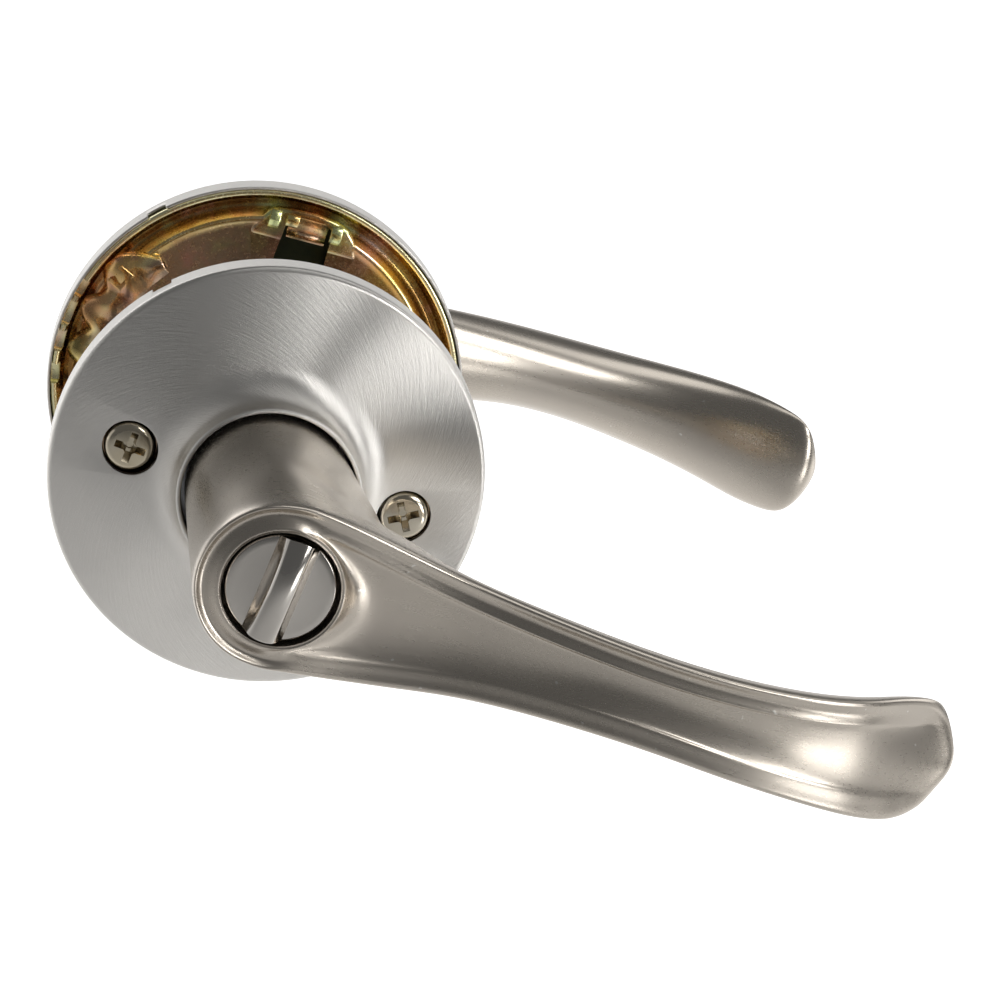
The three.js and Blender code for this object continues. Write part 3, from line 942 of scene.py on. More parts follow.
    def bracket(self) -> Piece:
        """The strap at the left, a folded, lobed sheet.

        Returns:
            The strap.
        """
        angles, radii = [a for a, _ in self.strap], [r for _, r in self.strap]
        Bench.clear_selection()
        bpy.ops.mesh.primitive_grid_add(x_subdivisions=4 * (len(self.strap) - 1),
                                        y_subdivisions=self.strap_rows - 1, size=1.0)
        sheet = Bench.added("strap")
        for vertex in sheet.data.vertices:
            along, across = vertex.co.x + 0.5, vertex.co.y + 0.5
            angle = angles[0] + (angles[-1] - angles[0]) * along
            radius = self.strap_inner + (smooth_through(angles, radii, angle) - self.strap_inner) * across
            turn = math.radians(angle)
            fold = 0.55 * math.sin(turn * self.strap_folds + across * 3.0) * across ** 0.5
            out = self.face - 0.95 + fold * 0.55 + 1.1 * across ** 6 - 0.5 * math.sin(math.pi * across)
            vertex.co = Bench.metres((radius * math.cos(turn), out, radius * math.sin(turn)))
        Bench.modify(sheet, "SOLIDIFY", thickness=self.strap_sheet * MM)
        Bench.tidy(sheet, 0.001)
        Bench.round_edges(sheet, 0.12, 2, 40.0)
        return sheet

    def lance(self) -> Piece:
        """The small U-shaped tab lanced out of the strap.

        Returns:
            The tab.
        """
        tab = Bench.slab("lance", ((26.7, -1.7), (29.4, -1.7), (29.4, 1.7), (26.7, 1.7)),
                         self.face - 2.1, self.face - 1.2, 0.2)
        Bench.combine(tab, Bench.block("opening", (27.5, 15.0, -0.95), (30.4, 23.0, 0.95), 0.2))
        Bench.turn(tab, self.lance_angle)
        return tab

    @staticmethod
    def strip(name: str, spine: Outline, left: float, right: float, sheet: float) -> Piece:
        """A bent strip of sheet metal that follows a spine of (z, out) points.

        Args:
            name: The new piece's name.
            spine: The middle of the sheet, in millimetres.
            left: The strip's lowest x.
            right: The strip's highest x.
            sheet: How thick the sheet is.

        Returns:
            The strip.
        """
        upper, lower = [], []
        for i, (z, out) in enumerate(spine):
            ahead, behind = spine[min(i + 1, len(spine) - 1)], spine[max(i - 1, 0)]
            along = Vector((ahead[0] - behind[0], ahead[1] - behind[1])).normalized() * (sheet / 2)
            upper.append((z - along.y, out + along.x))
            lower.append((z + along.y, out - along.x))
        outline = upper + list(reversed(lower))
        piece = Bench.loft(name, [[(x, out, z) for z, out in outline] for x in (left, right)])
        Bench.round_edges(piece, sheet * 0.25, 2, 40.0)
        return piece


# ------------------------------------------------------------------------------ small pieces


@dataclass
class TurnButton:
    """The round turn button with its raised grip bar."""

    radius: float = 8.0
    face: float = 73.9
    back: float = 71.0
    rim_round: float = 0.45
    stem_radius: float = 3.6
    stem_end: float = 61.0
    grip_top: float = 77.0
    grip_half: float = 3.05
    grip_crown: float = 1.3
    grip_reach: float = 9.0
    grip_step: float = 1.5
    grip_degrees: float = -6.5

    flank = ((0.0, -0.02), (0.1, 0.05), (0.35, 0.17), (0.75, 0.44), (1.1, 0.68), (1.35, 0.81),
             (1.7, 0.9), (2.15, 0.965), (2.6, 0.993))

    def grip_row(self, z: float) -> list[Point]:
        """One section of the bar: steep flanks and a rounded back, lower towards the bar's ends.

        Args:
            z: Where the section lies.

        Returns:
            The closed section.
        """
        height = self.grip_top - self.face - self.grip_crown * (z / self.radius) ** 2
        half, root = self.grip_half, self.back + 1.0
        left = [(x - half, self.face + share * height, z) for x, share in self.flank]
        right = [(-x, out, z) for x, out, z in reversed(left)]
        return left + [(0.0, self.face + height, z)] + right + [(half, root, z), (-half, root, z)]

    def grip(self) -> Piece:
        """Lofts the bar along Z through its sections and trims it to the disc.

        Returns:
            The bar.
        """
        count = round(2 * self.grip_reach / self.grip_step) + 1
        piece = Bench.loft("grip", [self.grip_row(-self.grip_reach + self.grip_step * i)
                                    for i in range(count)])
        Bench.turn(piece, self.grip_degrees)
        Bench.combine(piece, Bench.peg("trim", self.radius - 0.12, 70.0, 80.0, sides=96), "INTERSECT")
        return piece

    def build(self) -> Piece:
        """Builds the disc with its stem, and joins the bar to it.

        Returns:
            The button.
        """
        profile = [
            (0.0, self.stem_end),
            (self.stem_radius - 0.2, self.stem_end),
            (self.stem_radius, self.stem_end + 0.2),
            (self.stem_radius, self.back),
            (self.radius - 0.2, self.back),
            (self.radius, self.back + 0.2),
            *arc((self.radius - self.rim_round, self.face - self.rim_round), self.rim_round, 0, 80, 5),
            (self.radius - 1.2, self.face + 0.02),
            (0.0, self.face + 0.05),
        ]
        disc = Bench.spun("turn_button_knob", profile, 96)
        Bench.combine(disc, self.grip(), "UNION")
        Bench.round_edges(disc, 0.16, 3, 38.0)
        Bench.smooth(disc, 40.0)
        Bench.mirror_to(disc, Side.INSIDE)
        return disc


@dataclass
class ThroughScrew:
    """A pan-head machine screw with a cross recess, at x = place."""

    name: str
    place: float
    spin_degrees: float
    head_radius: float = 3.92
    head_round: float = 1.45
    head_side: float = 0.75
    head_top: float = 27.15
    seat: float = 24.9
    shank_radius: float = 2.05
    thread_depth: float = 0.32
    end: float = -8.0
    pitch: float = 0.8
    recess_depth: float = 1.7

    def profile(self) -> Profile:
        """The closed profile, from the shank's end up its thread and over the head.

        Returns:
            The profile's (radius, out) points.
        """
        neck = self.shank_radius - 0.2
        points = [(0.0, self.end), (self.shank_radius - 0.5, self.end)]
        for i in range(int((self.seat - 1.5 - self.end) / self.pitch)):
            out = self.end + 0.4 + i * self.pitch
            points += [(self.shank_radius - self.thread_depth, out),
                       (self.shank_radius, out + self.pitch / 2)]
        return points + [
            (neck, self.seat - 0.8),
            (neck, self.seat),
            (self.head_radius - 0.2, self.seat),
            (self.head_radius, self.seat + 0.2),
            (self.head_radius, self.seat + self.head_side),
            *arc((self.head_radius - self.head_round, self.seat + self.head_side), self.head_round, 8, 82, 8),
            (0.0, self.head_top + 0.05),
        ]

    def wing(self) -> Piece:
        """One tapered wing of the cross recess.

        Returns:
            The wing as a cutter.
        """
        rows = []
        for x, out, z in ((1.1, self.head_top - self.recess_depth, 0.34), (2.75, self.head_top + 0.4, 0.62)):
            rows.append([(-x, out, -z), (x, out, -z), (x, out, z), (-x, out, z)])
        return Bench.loft("wing", rows)

    def build(self) -> Piece:
        """Builds the head, its recess and the threaded shank.

        Returns:
            The screw.
        """
        piece = Bench.spun(self.name, self.profile(), 64)
        for turn in (0.0, 90.0):
            wing = self.wing()
            Bench.turn(wing, turn + self.spin_degrees)
            Bench.combine(piece, wing)
        Bench.combine(piece, Bench.peg("centre", 0.55, self.head_top - 2.0, self.head_top + 0.5,
                                       tip_radius=1.15, sides=24))
        Bench.smooth(piece, 35.0)
        Bench.shift(piece, self.place)
        Bench.mirror_to(piece, Side.INSIDE)
        return piece


# ------------------------------------------------------------------------------ materials

STROKE_LEAN = math.radians(32)
SURFACE_OUTPUTS = (("Color", "Color"), ("Roughness", "Float"), ("Height", "Float"))
SPECK_TONE = (0.95, 0.95, 0.92)
# Chromate colour by radius in millimetres. Painted shade darkens the groove (28.9 to 30.2), and painted
# highlights brighten the ridge (27.2) and the rim bead (31.5 to 33.0).
FILM_SHADE_AND_HIGHLIGHT_BY_RADIUS = (
    (20.0, (0.52, 0.38, 0.27)),
    (26.2, (0.52, 0.37, 0.24)),
    (27.2, (0.97, 0.82, 0.44)),
    (28.1, (0.76, 0.52, 0.20)),
    (28.9, (0.36, 0.20, 0.07)),
    (30.2, (0.32, 0.17, 0.05)),
    (30.9, (0.62, 0.45, 0.16)),
    (31.5, (0.98, 0.90, 0.55)),
    (33.0, (0.92, 0.88, 0.58)),
)
# Painted highlights tinted in the film's hues, at fixed places on the outside plate: (x, z) centre, reach in
# millimetres and colour.
FILM_HIGHLIGHT_SPOTS = (
    ((-4.8, 27.6), 3.4, (0.78, 0.90, 0.42)),
    ((6.2, 27.2), 3.4, (0.80, 0.92, 0.46)),
    ((1.6, 28.0), 2.8, (0.95, 0.48, 0.18)),
    ((12.6, 25.6), 4.0, (1.0, 0.66, 0.56)),
    ((15.8, 23.0), 5.0, (1.0, 0.74, 0.22)),
    ((-25.6, 12.6), 5.0, (0.95, 0.62, 0.26)),
    ((-28.4, 7.4), 5.0, (0.86, 0.48, 0.24)),
)
FILM_ROSE, FILM_GREEN = (0.80, 0.40, 0.34), (0.60, 0.62, 0.26)
FILM_DEPTH = 0.000004


class Nodes:
    """A short way to build node trees."""

    def __init__(self, tree: bpy.types.NodeTree) -> None:
        """Holds the tree that the nodes go into."""
        self.tree = tree

    def add(self, kind: str, **settings: object) -> bpy.types.Node:
        """Adds a node.

        Args:
            kind: The node's type.
            **settings: Its properties.

        Returns:
            The node.
        """
        node = self.tree.nodes.new(kind)
        for key, value in settings.items():
            setattr(node, key, value)
        return node

    def link(self, source: Socket, target: Socket) -> None:
        """Links two sockets."""
        self.tree.links.new(source, target)

    def feed(self, socket: Socket, given: Socket | Tone | float) -> None:
        """Links another socket to a socket, or sets its constant.

        Args:
            socket: The input.
            given: A socket, a colour or a number.
        """
        if isinstance(given, bpy.types.NodeSocket):
            self.link(given, socket)
        else:
            socket.default_value = (*given, 1.0) if isinstance(given, tuple) else given

    def place(self) -> Socket:
        """Adds object coordinates."""
        return self.add("ShaderNodeTexCoord").outputs["Object"]

    def axes(self, place: Socket) -> Sequence[Socket]:
        """Splits a vector into its X, Y and Z.

        Args:
            place: The vector.

        Returns:
            The three outputs.
        """
        node = self.add("ShaderNodeSeparateXYZ")
        self.link(place, node.inputs["Vector"])
        return node.outputs

    def vector(self, **given: Socket) -> Socket:
        """Joins sockets, named X, Y and Z, into a vector.

        Args:
            **given: The socket for each axis.

        Returns:
            The vector.
        """
        node = self.add("ShaderNodeCombineXYZ")
        for axis, source in given.items():
            self.link(source, node.inputs[axis])
        return node.outputs["Vector"]

    def value(self, operation: str, *inputs: Socket | float) -> Socket:
        """Adds a math node.

        Args:
            operation: What it does.
            *inputs: Its sockets or numbers.

        Returns:
            Its output.
        """
        node = self.add("ShaderNodeMath", operation=operation)
        for socket, given in zip(node.inputs, inputs):
            self.feed(socket, given)
        return node.outputs[0]

    def weighed(self, operation: str, a: Socket, a_by: Socket | float, b: Socket,
                b_by: Socket | float) -> Socket:
        """Adds or subtracts two products, a times a_by and b times b_by."""
        return self.value(operation, self.value("MULTIPLY", a, a_by), self.value("MULTIPLY", b, b_by))

    def distance(self, a: Socket, b: Socket) -> Socket:
        """The length of a plane vector with parts a and b."""
        return self.value("SQRT", self.weighed("ADD", a, a, b, b))

    def spread(self, source: Socket, low: float, high: float, to_low: float, to_high: float) -> Socket:
        """Maps a value from one range to another.

        Args:
            source: The value.
            low: The first range's low end.
            high: Its high end.
            to_low: What low becomes.
            to_high: What high becomes.

        Returns:
            The mapped value, kept inside the second range.
        """
        node = self.add("ShaderNodeMapRange")
        for key, given in (("Value", source), ("From Min", low), ("From Max", high), ("To Min", to_low),
                           ("To Max", to_high)):
            self.feed(node.inputs[key], given)
        return node.outputs["Result"]

    def noise(self, place: Socket, scale: Sequence[float], detail: float = 3.0,
              roughness: float = 0.55) -> Socket:
        """Noise stretched by a scale along each axis.

        Args:
            place: The coordinates.
            scale: How fine it is along each axis, per metre.
            detail: How many octaves it has.
            roughness: How strong the finer octaves are.

        Returns:
            A value near 0.5.
        """
        mapping = self.add("ShaderNodeMapping")
        mapping.inputs["Scale"].default_value = scale
        self.link(place, mapping.inputs["Vector"])
        node = self.add("ShaderNodeTexNoise")
        for key, given in (("Vector", mapping.outputs["Vector"]), ("Scale", 1.0), ("Detail", detail),
                           ("Roughness", roughness)):
            self.feed(node.inputs[key], given)
        return node.outputs["Fac"]

    def mix(self, share: Socket, under: Socket | Tone, over: Socket | Tone) -> Socket:
        """Blends one colour over another.

        Args:
            share: How much of the upper colour shows.
            under: The lower colour.
            over: The upper colour.

        Returns:
            The blended colour.
        """
        node = self.add("ShaderNodeMix", data_type="RGBA")
        for key, given in (("Factor", share), ("A", under), ("B", over)):
            self.feed(node.inputs[key], given)
        return node.outputs["Result"]

    def coat(self, shader: bpy.types.Node, tree: bpy.types.NodeTree, depth: float) -> bpy.types.Node:
        """Drives a shader's colour, roughness and bump with an effect group.

        Args:
            shader: The shader.
            tree: The effect's node group.
            depth: The bump's height in metres, or 0 for none.

        Returns:
            The effect's node.
        """
        effect = self.add("ShaderNodeGroup", node_tree=tree)
        self.link(effect.outputs["Color"], shader.inputs["Base Color"])
        self.link(effect.outputs["Roughness"], shader.inputs["Roughness"])
        if depth:
            bump = self.add("ShaderNodeBump")
            for key, given in (("Strength", 1.0), ("Distance", depth), ("Height", effect.outputs["Height"])):
                self.feed(bump.inputs[key], given)
            self.link(bump.outputs["Normal"], shader.inputs["Normal"])
        return effect


def new_material(name: str) -> tuple[bpy.types.Material, Nodes, bpy.types.Node]:
    """Makes a material.

    Args:
        name: The material's name.

    Returns:
        The material, its nodes and its shader.
    """
    material = bpy.data.materials.new(name)
    material.use_nodes = True
    return material, Nodes(material.node_tree), material.node_tree.nodes["Principled BSDF"]


def effect_group(name: str, inputs: Sequence[tuple[str, str]] = ()) -> bpy.types.NodeTree:
    """Makes a node group with outputs Color, Roughness and Height.

    Args:
        name: The group's name.
        inputs: Each input's label and kind.

    Returns:
        The group, still empty.
    """
    group = bpy.data.node_groups.new(name, "ShaderNodeTree")
    for direction, sockets in (("INPUT", inputs), ("OUTPUT", SURFACE_OUTPUTS)):
        for label, kind in sockets:
            group.interface.new_socket(name=label, in_out=direction, socket_type=f"NodeSocket{kind}")
    return group


def dress(piece: Piece, material: bpy.types.Material) -> None:
    """Gives a piece one material all over."""
    piece.data.materials.clear()
    piece.data.materials.append(material)


class Grain(Enum):
    """How a brushed finish runs."""

    ROUND_AXIS = "round_axis"
    ALONG_X = "along_x"
    CLOUDY = "cloudy"


@dataclass(frozen=True)
class MetalFinish:
    """A plated metal with brushed grain, plating colour variation and wear.

    Colours are linear RGB. grain_depth is the bump height of the grain in metres.
    """

    name: str
    base: Tone
    tint: Tone
    roughness: float
    roughness_spread: float
    grain_depth: float
    grain: Grain = Grain.CLOUDY
    anisotropy: float = 0.0
    specks: float = 0.0

    def build(self) -> bpy.types.Material:
        """Builds the finish as a material.

        Returns:
            The material.
        """
        material, nodes, shader = new_material(self.name)
        shader.inputs["Metallic"].default_value = 1.0
        shader.inputs["Anisotropic"].default_value = self.anisotropy
        if self.anisotropy:
            nodes.link(across_strokes(nodes), shader.inputs["Tangent"])
        effect = nodes.coat(shader, plated_surface(self.grain), self.grain_depth)
        for key, given in (("Base", self.base), ("Tint", self.tint), ("Roughness", self.roughness),
                           ("Roughness spread", self.roughness_spread), ("Specks", self.specks)):
            nodes.feed(effect.inputs[key], given)
        return material


def plated_surface(grain: Grain) -> bpy.types.NodeTree:
    """The shared plating effect for one grain, built once.

    Args:
        grain: How the brushed grain runs.

    Returns:
        A node group with outputs Color, Roughness and Height.
    """
    name = f"plated_{grain.value}"
    if name in bpy.data.node_groups:
        return bpy.data.node_groups[name]
    group = effect_group(name, (("Base", "Color"), ("Tint", "Color"), ("Roughness", "Float"),
                                ("Roughness spread", "Float"), ("Specks", "Float")))
    nodes = Nodes(group)
    given, result = nodes.add("NodeGroupInput").outputs, nodes.add("NodeGroupOutput").inputs
    place = nodes.place()
    lines = grain_lines(nodes, place, grain)
    cloud = nodes.noise(place, (60, 60, 60), 4.0)
    fine = nodes.noise(place, (900, 900, 900), 1.0)
    plating = nodes.mix(nodes.spread(cloud, 0.35, 0.7, 0.0, 1.0), given["Base"], given["Tint"])
    speck = nodes.value("MULTIPLY", nodes.spread(fine, 0.765, 0.80, 0.0, 1.0), given["Specks"])
    nodes.link(nodes.mix(speck, plating, SPECK_TONE), result["Color"])
    centred = nodes.value("SUBTRACT", nodes.value("ADD", lines, nodes.value("MULTIPLY", cloud, 0.6)), 0.8)
    change = nodes.value("MULTIPLY", centred, given["Roughness spread"])
    nodes.link(nodes.value("ADD", given["Roughness"], change), result["Roughness"])
    nodes.link(nodes.value("ADD", lines, nodes.value("MULTIPLY", speck, 2.0)), result["Height"])
    return group


def grain_lines(nodes: Nodes, place: Socket, grain: Grain) -> Socket:
    """Fine lines of a brushed finish.

    Args:
        nodes: The tree being built.
        place: Object coordinates.
        grain: How the lines run.

    Returns:
        A value near 0.5 that varies across the lines.
    """
    if grain is Grain.ALONG_X:
        return nodes.noise(place, (160, 3200, 3200), 3.0)
    if grain is Grain.CLOUDY:
        return nodes.noise(place, (900, 900, 900), 4.0)
    x, y, z = nodes.axes(place)
    log_radius = nodes.value("LOGARITHM", nodes.distance(x, z), math.e)
    angle = nodes.value("ARCTAN2", z, x)
    sine, cosine = math.sin(STROKE_LEAN), math.cos(STROKE_LEAN)
    across = nodes.weighed("SUBTRACT", log_radius, cosine, angle, sine)
    along = nodes.weighed("ADD", log_radius, sine, angle, cosine)
    return nodes.noise(nodes.vector(X=across, Y=along, Z=y), (70, 5.5, 300), 5.0, 0.8)


def across_strokes(nodes: Nodes) -> Socket:
    """The direction across the brush strokes of a turned face.

    Args:
        nodes: The tree being built.

    Returns:
        A unit vector in the plane of the face.
    """
    x, _, z = nodes.axes(nodes.place())
    sine, cosine = math.sin(STROKE_LEAN), math.cos(STROKE_LEAN)
    across = nodes.vector(X=nodes.weighed("ADD", x, cosine, z, sine),
                          Z=nodes.weighed("SUBTRACT", z, cosine, x, sine))
    unit = nodes.add("ShaderNodeVectorMath", operation="NORMALIZE")
    nodes.link(across, unit.inputs[0])
    return unit.outputs["Vector"]


def chromate_film_and_painted_light() -> bpy.types.NodeTree:
    """The colours of a yellow chromate film over a round pressing, with painted shade darkening its groove
    and painted highlights on its ridge, rim bead and fixed spots.

    Returns:
        A node group with outputs Color, Roughness and Height.
    """
    group = effect_group("chromate_film_and_painted_light")
    nodes = Nodes(group)
    result = nodes.add("NodeGroupOutput").inputs
    place = nodes.place()
    x, _, z = nodes.axes(place)
    wander = nodes.spread(nodes.noise(place, (140, 140, 140)), 0.3, 0.7, -0.5, 0.5)
    radius = nodes.value("ADD", nodes.value("MULTIPLY", nodes.distance(x, z), 1.0 / MM), wander)
    # The radius ramp gives chromate colour, with painted shade in the groove and painted highlights on the
    # ridge and rim bead.
    ramp = nodes.add("ShaderNodeValToRGB")
    stops = ramp.color_ramp.elements
    inner, outer = FILM_SHADE_AND_HIGHLIGHT_BY_RADIUS[0][0], FILM_SHADE_AND_HIGHLIGHT_BY_RADIUS[-1][0]
    nodes.link(nodes.spread(radius, inner, outer, 0.0, 1.0), ramp.inputs["Fac"])
    while len(stops) < len(FILM_SHADE_AND_HIGHLIGHT_BY_RADIUS):
        stops.new(0.5)
    for stop, (at, tone) in zip(stops, FILM_SHADE_AND_HIGHLIGHT_BY_RADIUS):
        stop.position = (at - inner) / (outer - inner)
        stop.color = (*tone, 1.0)
    colour = ramp.outputs["Color"]
    # Spots of painted highlight in the film's hues.
    for (spot_x, spot_z), reach, tone in FILM_HIGHLIGHT_SPOTS:
        away = nodes.distance(nodes.value("SUBTRACT", x, spot_x * MM),
                              nodes.value("SUBTRACT", z, spot_z * MM))
        colour = nodes.mix(nodes.spread(away, reach * MM, 0.3 * reach * MM, 0.0, 0.8), colour, tone)
    hue = nodes.noise(place, (260, 260, 260), 2.0)
    colour = nodes.mix(nodes.spread(hue, 0.54, 0.72, 0.0, 0.5), colour, FILM_ROSE)
    colour = nodes.mix(nodes.spread(hue, 0.44, 0.30, 0.0, 0.35), colour, FILM_GREEN)
    nodes.link(colour, result["Color"])
    fine = nodes.noise(place, (2200, 2200, 2200))
    nodes.link(nodes.spread(fine, 0.3, 0.7, 0.16, 0.30), result["Roughness"])
    nodes.link(fine, result["Height"])
    return group


def chromated_pressing_painted_light() -> bpy.types.Material:
    """Builds the yellow chromate of a pressing, whose colour follows its radius and wanders, with painted
    shade in the groove and painted highlights on the ridge, rim bead and spots.

    Returns:
        The material.
    """
    material, nodes, shader = new_material("yellow_chromate_painted_light")
    shader.inputs["Metallic"].default_value = 1.0
    nodes.coat(shader, chromate_film_and_painted_light(), FILM_DEPTH)
    return material


def natural_nylon() -> bpy.types.Material:
    """Builds natural nylon with a faint moulded texture.

    Returns:
        The material.
    """
    material, nodes, shader = new_material("natural_nylon")
    cloud = nodes.noise(nodes.place(), (300, 300, 300))
    nodes.link(nodes.mix(cloud, (0.78, 0.75, 0.66), (0.70, 0.67, 0.58)), shader.inputs["Base Color"])
    nodes.link(nodes.spread(cloud, 0.3, 0.7, 0.4, 0.55), shader.inputs["Roughness"])
    return material


class Finishes:
    """Every finish of the set, built once each."""

    def __init__(self) -> None:
        """Builds the finishes."""
        self.rose = MetalFinish(
            "satin_nickel_turned", (0.73, 0.705, 0.665), (0.67, 0.65, 0.615), 0.36, 0.16, 0.00008,
            Grain.ROUND_AXIS, 0.95).build()
        self.lever = MetalFinish(
            "satin_nickel_cast", (0.535, 0.485, 0.42), (0.50, 0.455, 0.40), 0.28, 0.06, 0.000005,
            Grain.ALONG_X, specks=0.45).build()
        self.button = MetalFinish(
            "button_nickel_bright", (0.56, 0.53, 0.49), (0.52, 0.49, 0.45), 0.13, 0.06, 0.000002).build()
        self.screw = MetalFinish(
            "screw_nickel_bright", (0.62, 0.57, 0.48), (0.50, 0.43, 0.30), 0.17, 0.08, 0.000004).build()
        self.yellow_zinc = MetalFinish(
            "yellow_chromate_zinc", (0.56, 0.46, 0.19), (0.46, 0.27, 0.19), 0.22, 0.1, 0.000006).build()
        self.pressing = chromated_pressing_painted_light()
        self.bright_zinc = MetalFinish(
            "clear_zinc", (0.60, 0.61, 0.62), (0.52, 0.54, 0.56), 0.3, 0.1, 0.00001).build()
        self.spring = MetalFinish(
            "spring_steel_oiled", (0.22, 0.21, 0.2), (0.16, 0.15, 0.14), 0.34, 0.1, 0.000005).build()
        # Dark greenish finish of the sheet behind the outside plate's window: painted shade.
        self.painted_window_shade = MetalFinish(
            "painted_window_shade_sheet", (0.055, 0.075, 0.05), (0.04, 0.05, 0.035), 0.3, 0.1, 0.000005).build()
        self.nylon = natural_nylon()


# ------------------------------------------------------------------------------ assembly


class LeverSet:
    """Builds every visible piece and fixes it to its body."""

    outside_tip_stretch = -2.4
    outside_lift_degrees = 0.6
    # The dark sheet of painted shade behind the outside plate's window: its (x, z) outline and its span along
    # out.
    window_shade_outline = ((-6.4, 17.4), (7.6, 17.4), (7.6, 28.0), (-6.4, 28.0))
    window_shade_out = (23.75, 24.1)
    screws = (("left", -21.3, -5.0), ("right", 21.3, 28.0))

    def __init__(self, finishes: Finishes) -> None:
        """Holds the finishes."""
        self.finishes = finishes

    def fix(self, piece: Piece, body: str, slot: Slot, material: bpy.types.Material, *nodes: str) -> None:
        """Dresses a piece, rides it on its body and lets it stand for its nodes.

        Args:
            piece: The finished piece.
            body: The body that carries it.
            slot: Its material slot; not used.
            material: Its finish.
            *nodes: The nodes that it replaces.
        """
        dress(piece, material)
        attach(piece, body)
        if nodes:
            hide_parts(*nodes)
        LOG.info("%s: %d faces", piece.name, len(piece.data.polygons))

    def build(self) -> None:
        """Builds both halves and what joins them."""
        looks = self.finishes
        for side in Side:
            half = side.name.lower()
            lever = Lever(side)
            if side is Side.OUTSIDE:
                lever.tip_stretch, lever.lift_degrees = self.outside_tip_stretch, self.outside_lift_degrees
            self.fix(Rose(side).build(), "chassis", Slot.SATIN_NICKEL, looks.rose, f"{half}_rose")
            self.fix(MountingPlate(side).build(), "chassis", Slot.YELLOW_ZINC, looks.pressing,
                     f"{half}_mounting_plate")
            self.fix(lever.build(), f"{half}_lever", Slot.SATIN_NICKEL, looks.lever, f"{half}_lever")
        # Painted shade: a dark sheet put behind the outside plate's window, where the plate lies in shadow.
        stop = Bench.slab("outside_window_shade_sheet", self.window_shade_outline, *self.window_shade_out, 0.1)
        self.fix(stop, "chassis", Slot.SPRING_STEEL, looks.painted_window_shade)
        self.fix(TurnButton().build(), "turn_button", Slot.BUTTON_NICKEL, looks.button, "turn_button")
        for name, place, turn in self.screws:
            screw = ThroughScrew(f"screw_{name}", place, turn).build()
            self.fix(screw, "chassis", Slot.SCREW_NICKEL, looks.screw, f"through_screw_{name}")
        self.dress_nodes()

    def dress_nodes(self) -> None:
        """Gives the nodes that stay their finishes."""
        by_slot = {
            Slot.SATIN_NICKEL: self.finishes.lever,
            Slot.BUTTON_NICKEL: self.finishes.button,
            Slot.SCREW_NICKEL: self.finishes.screw,
            Slot.YELLOW_ZINC: self.finishes.yellow_zinc,
            Slot.BRIGHT_ZINC: self.finishes.bright_zinc,
            Slot.SPRING_STEEL: self.finishes.spring,
            Slot.NYLON: self.finishes.nylon,
        }
        slots = {row["node"]: Slot(row["material_slot"]) for row in frame["record"]["subparts"]}
        for name, node in frame["nodes"].items():
            dress(node, by_slot[slots[name]])


# ------------------------------------------------------------------------------ studio


def bearing(azimuth: float, elevation: float) -> Vector:
    """The direction of a bearing, in degrees, with azimuth 0 in front of the inside lever.

    Args:
        azimuth: How far round it lies.
        elevation: How high it lies.

    Returns:
        The unit vector towards it.
    """
    a, e = math.radians(azimuth), math.radians(elevation)
    return Vector((math.sin(a) * math.cos(e), -math.cos(a) * math.cos(e), math.sin(e)))


@dataclass(frozen=True)
class Softbox:
    """A soft light that faces the set: its bearing in degrees, distance and size in metres, and watts."""

    name: str
    azimuth: float
    elevation: float
    size: tuple[float, float]
    power: float
    distance: float = 1.3

    def hang(self, target: Vector) -> None:
        """Hangs the light.

        Args:
            target: The place that it faces.
        """
        back = bearing(self.azimuth, self.elevation)
        data = bpy.data.lights.new(self.name, "AREA")
        data.shape = "RECTANGLE"
        data.size, data.size_y = self.size
        data.energy = self.power
        light = bpy.data.objects.new(self.name, data)
        bpy.context.scene.collection.objects.link(light)
        light.location = target + back * self.distance
        light.rotation_euler = (-back).to_track_quat("-Z", "Y").to_euler()


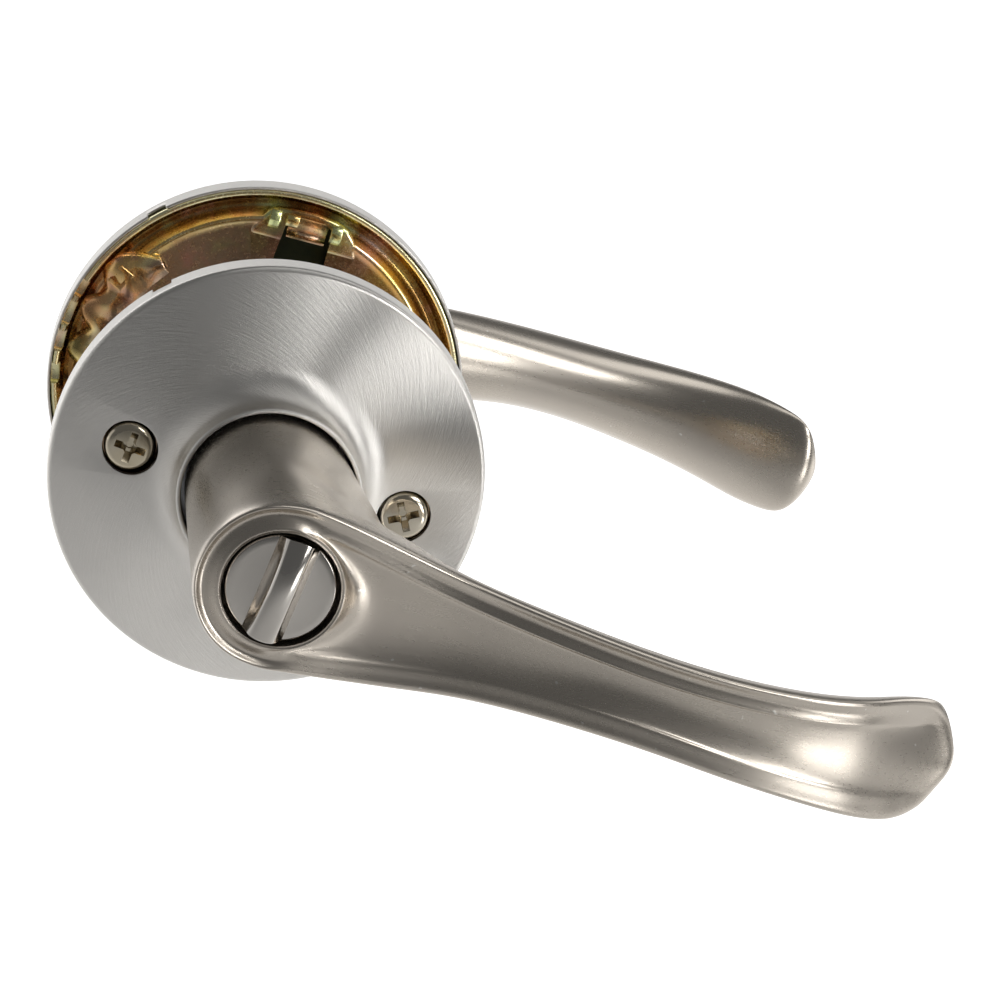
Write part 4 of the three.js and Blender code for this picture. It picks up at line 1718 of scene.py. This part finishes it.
@dataclass
class Studio:
    """Pale floor, low backdrop, soft light and the camera, in metres."""

    floor_drop: float = 0.30
    floor_size: float = 12.0
    wall_place: tuple[float, float, float] = (0.0, 2.6, 0.45)
    wall_size: tuple[float, float] = (6.0, 1.5)
    wall_glow: float = 0.45
    surround: float = 0.13
    lens: float = 180.0
    camera_azimuth: float = -10.13
    camera_elevation: float = 16.71
    camera_roll: float = 17.23
    camera_place: tuple[float, float, float] = (-0.09242, -0.73828, 0.22325)
    aim: tuple[float, float, float] = (0.03, 0.0, 0.0)

    softboxes = (
        Softbox("key_softbox", 46, 14, (0.42, 0.5), 4.9),
        Softbox("high_softbox", 46, 46, (0.7, 0.45), 5.8),
        Softbox("low_softbox", 50, -12.4, (0.40, 0.15), 0.75, 0.95),
        Softbox("rear_top_softbox", 150, 80, (0.9, 0.7), 2.6),
        Softbox("right_softbox", 100, 3, (0.8, 0.9), 1.3),
        Softbox("left_softbox", -84, 4, (0.7, 0.8), 0.8),
        Softbox("rear_left_softbox", -142, 22, (0.6, 0.6), 1.6),
        Softbox("rear_right_softbox", 128, 35, (0.6, 0.6), 2.0),
    )

    def camera(self) -> None:
        """Places the camera."""
        back = bearing(self.camera_azimuth, self.camera_elevation)
        a, r = math.radians(self.camera_azimuth), math.radians(self.camera_roll)
        right = Vector((math.cos(a), math.sin(a), 0.0))
        up = back.cross(right)
        rolled_right = right * math.cos(r) + up * math.sin(r)
        rolled_up = -right * math.sin(r) + up * math.cos(r)
        data = bpy.data.cameras.new("camera")
        data.lens = self.lens
        data.sensor_width = 36.0
        data.clip_start, data.clip_end = 0.01, 50.0
        camera = bpy.data.objects.new("camera", data)
        bpy.context.scene.collection.objects.link(camera)
        camera.matrix_world = Matrix.Translation(self.camera_place) @ Matrix(
            (rolled_right, rolled_up, back)).transposed().to_4x4()
        bpy.context.scene.camera = camera

    @staticmethod
    def panel(name: str, place: Point, tilt: float,
              size: tuple[float, float]) -> tuple[Nodes, bpy.types.Node]:
        """Adds a flat, pale, dull panel to the stage.

        Args:
            name: The panel's name.
            place: Its middle in metres.
            tilt: How far it is tipped up from the floor, in radians.
            size: Its width and depth in metres.

        Returns:
            The nodes and the shader of its material.
        """
        Bench.clear_selection()
        bpy.ops.mesh.primitive_plane_add(size=1.0, location=place, rotation=(tilt, 0, 0))
        bpy.context.object.scale = (*size, 1.0)
        panel = Bench.added(name)
        material, nodes, shader = new_material(f"{name}_pale")
        for key, given in (("Base Color", (0.6, 0.6, 0.6)), ("Roughness", 0.9), ("Specular IOR Level", 0.0),
                           ("Emission Color", (1.0, 1.0, 1.0)), ("Emission Strength", 1.0)):
            nodes.feed(shader.inputs[key], given)
        dress(panel, material)
        return nodes, shader

    def floor(self) -> None:
        """Adds the plain pale floor, well below the set, which glows behind it."""
        nodes, shader = self.panel("floor", (0, 0, -self.floor_drop), 0.0, (self.floor_size,) * 2)
        glow = nodes.spread(nodes.axes(nodes.place())["Y"], -0.3, 0.45, 0.08, 1.0)
        tone = nodes.add("ShaderNodeCombineColor")
        for channel in ("Red", "Green", "Blue"):
            nodes.link(glow, tone.inputs[channel])
        nodes.link(tone.outputs["Color"], shader.inputs["Emission Color"])

    def backdrop(self) -> None:
        """Adds the low pale backdrop that stands on the floor behind the set."""
        _, shader = self.panel("backdrop", self.wall_place, math.pi / 2, self.wall_size)
        shader.inputs["Emission Strength"].default_value = self.wall_glow

    def world(self) -> None:
        """Sets an even pale surround."""
        world = bpy.data.worlds.new("studio")
        bpy.context.scene.world = world
        world.use_nodes = True
        background = world.node_tree.nodes["Background"]
        background.inputs["Color"].default_value = (0.98, 0.99, 1.0, 1.0)
        background.inputs["Strength"].default_value = self.surround

    def build(self) -> None:
        """Builds the studio."""
        self.camera()
        self.floor()
        self.backdrop()
        self.world()
        for softbox in self.softboxes:
            softbox.hang(Vector(self.aim))
        bpy.context.scene.view_settings.view_transform = "Standard"


def main() -> None:
    """Builds the studio and the lever set."""
    logging.basicConfig(level=logging.INFO, format="%(name)s: %(message)s")
    Studio().build()
    LeverSet(Finishes()).build()


if __name__ == "__main__":
    main()
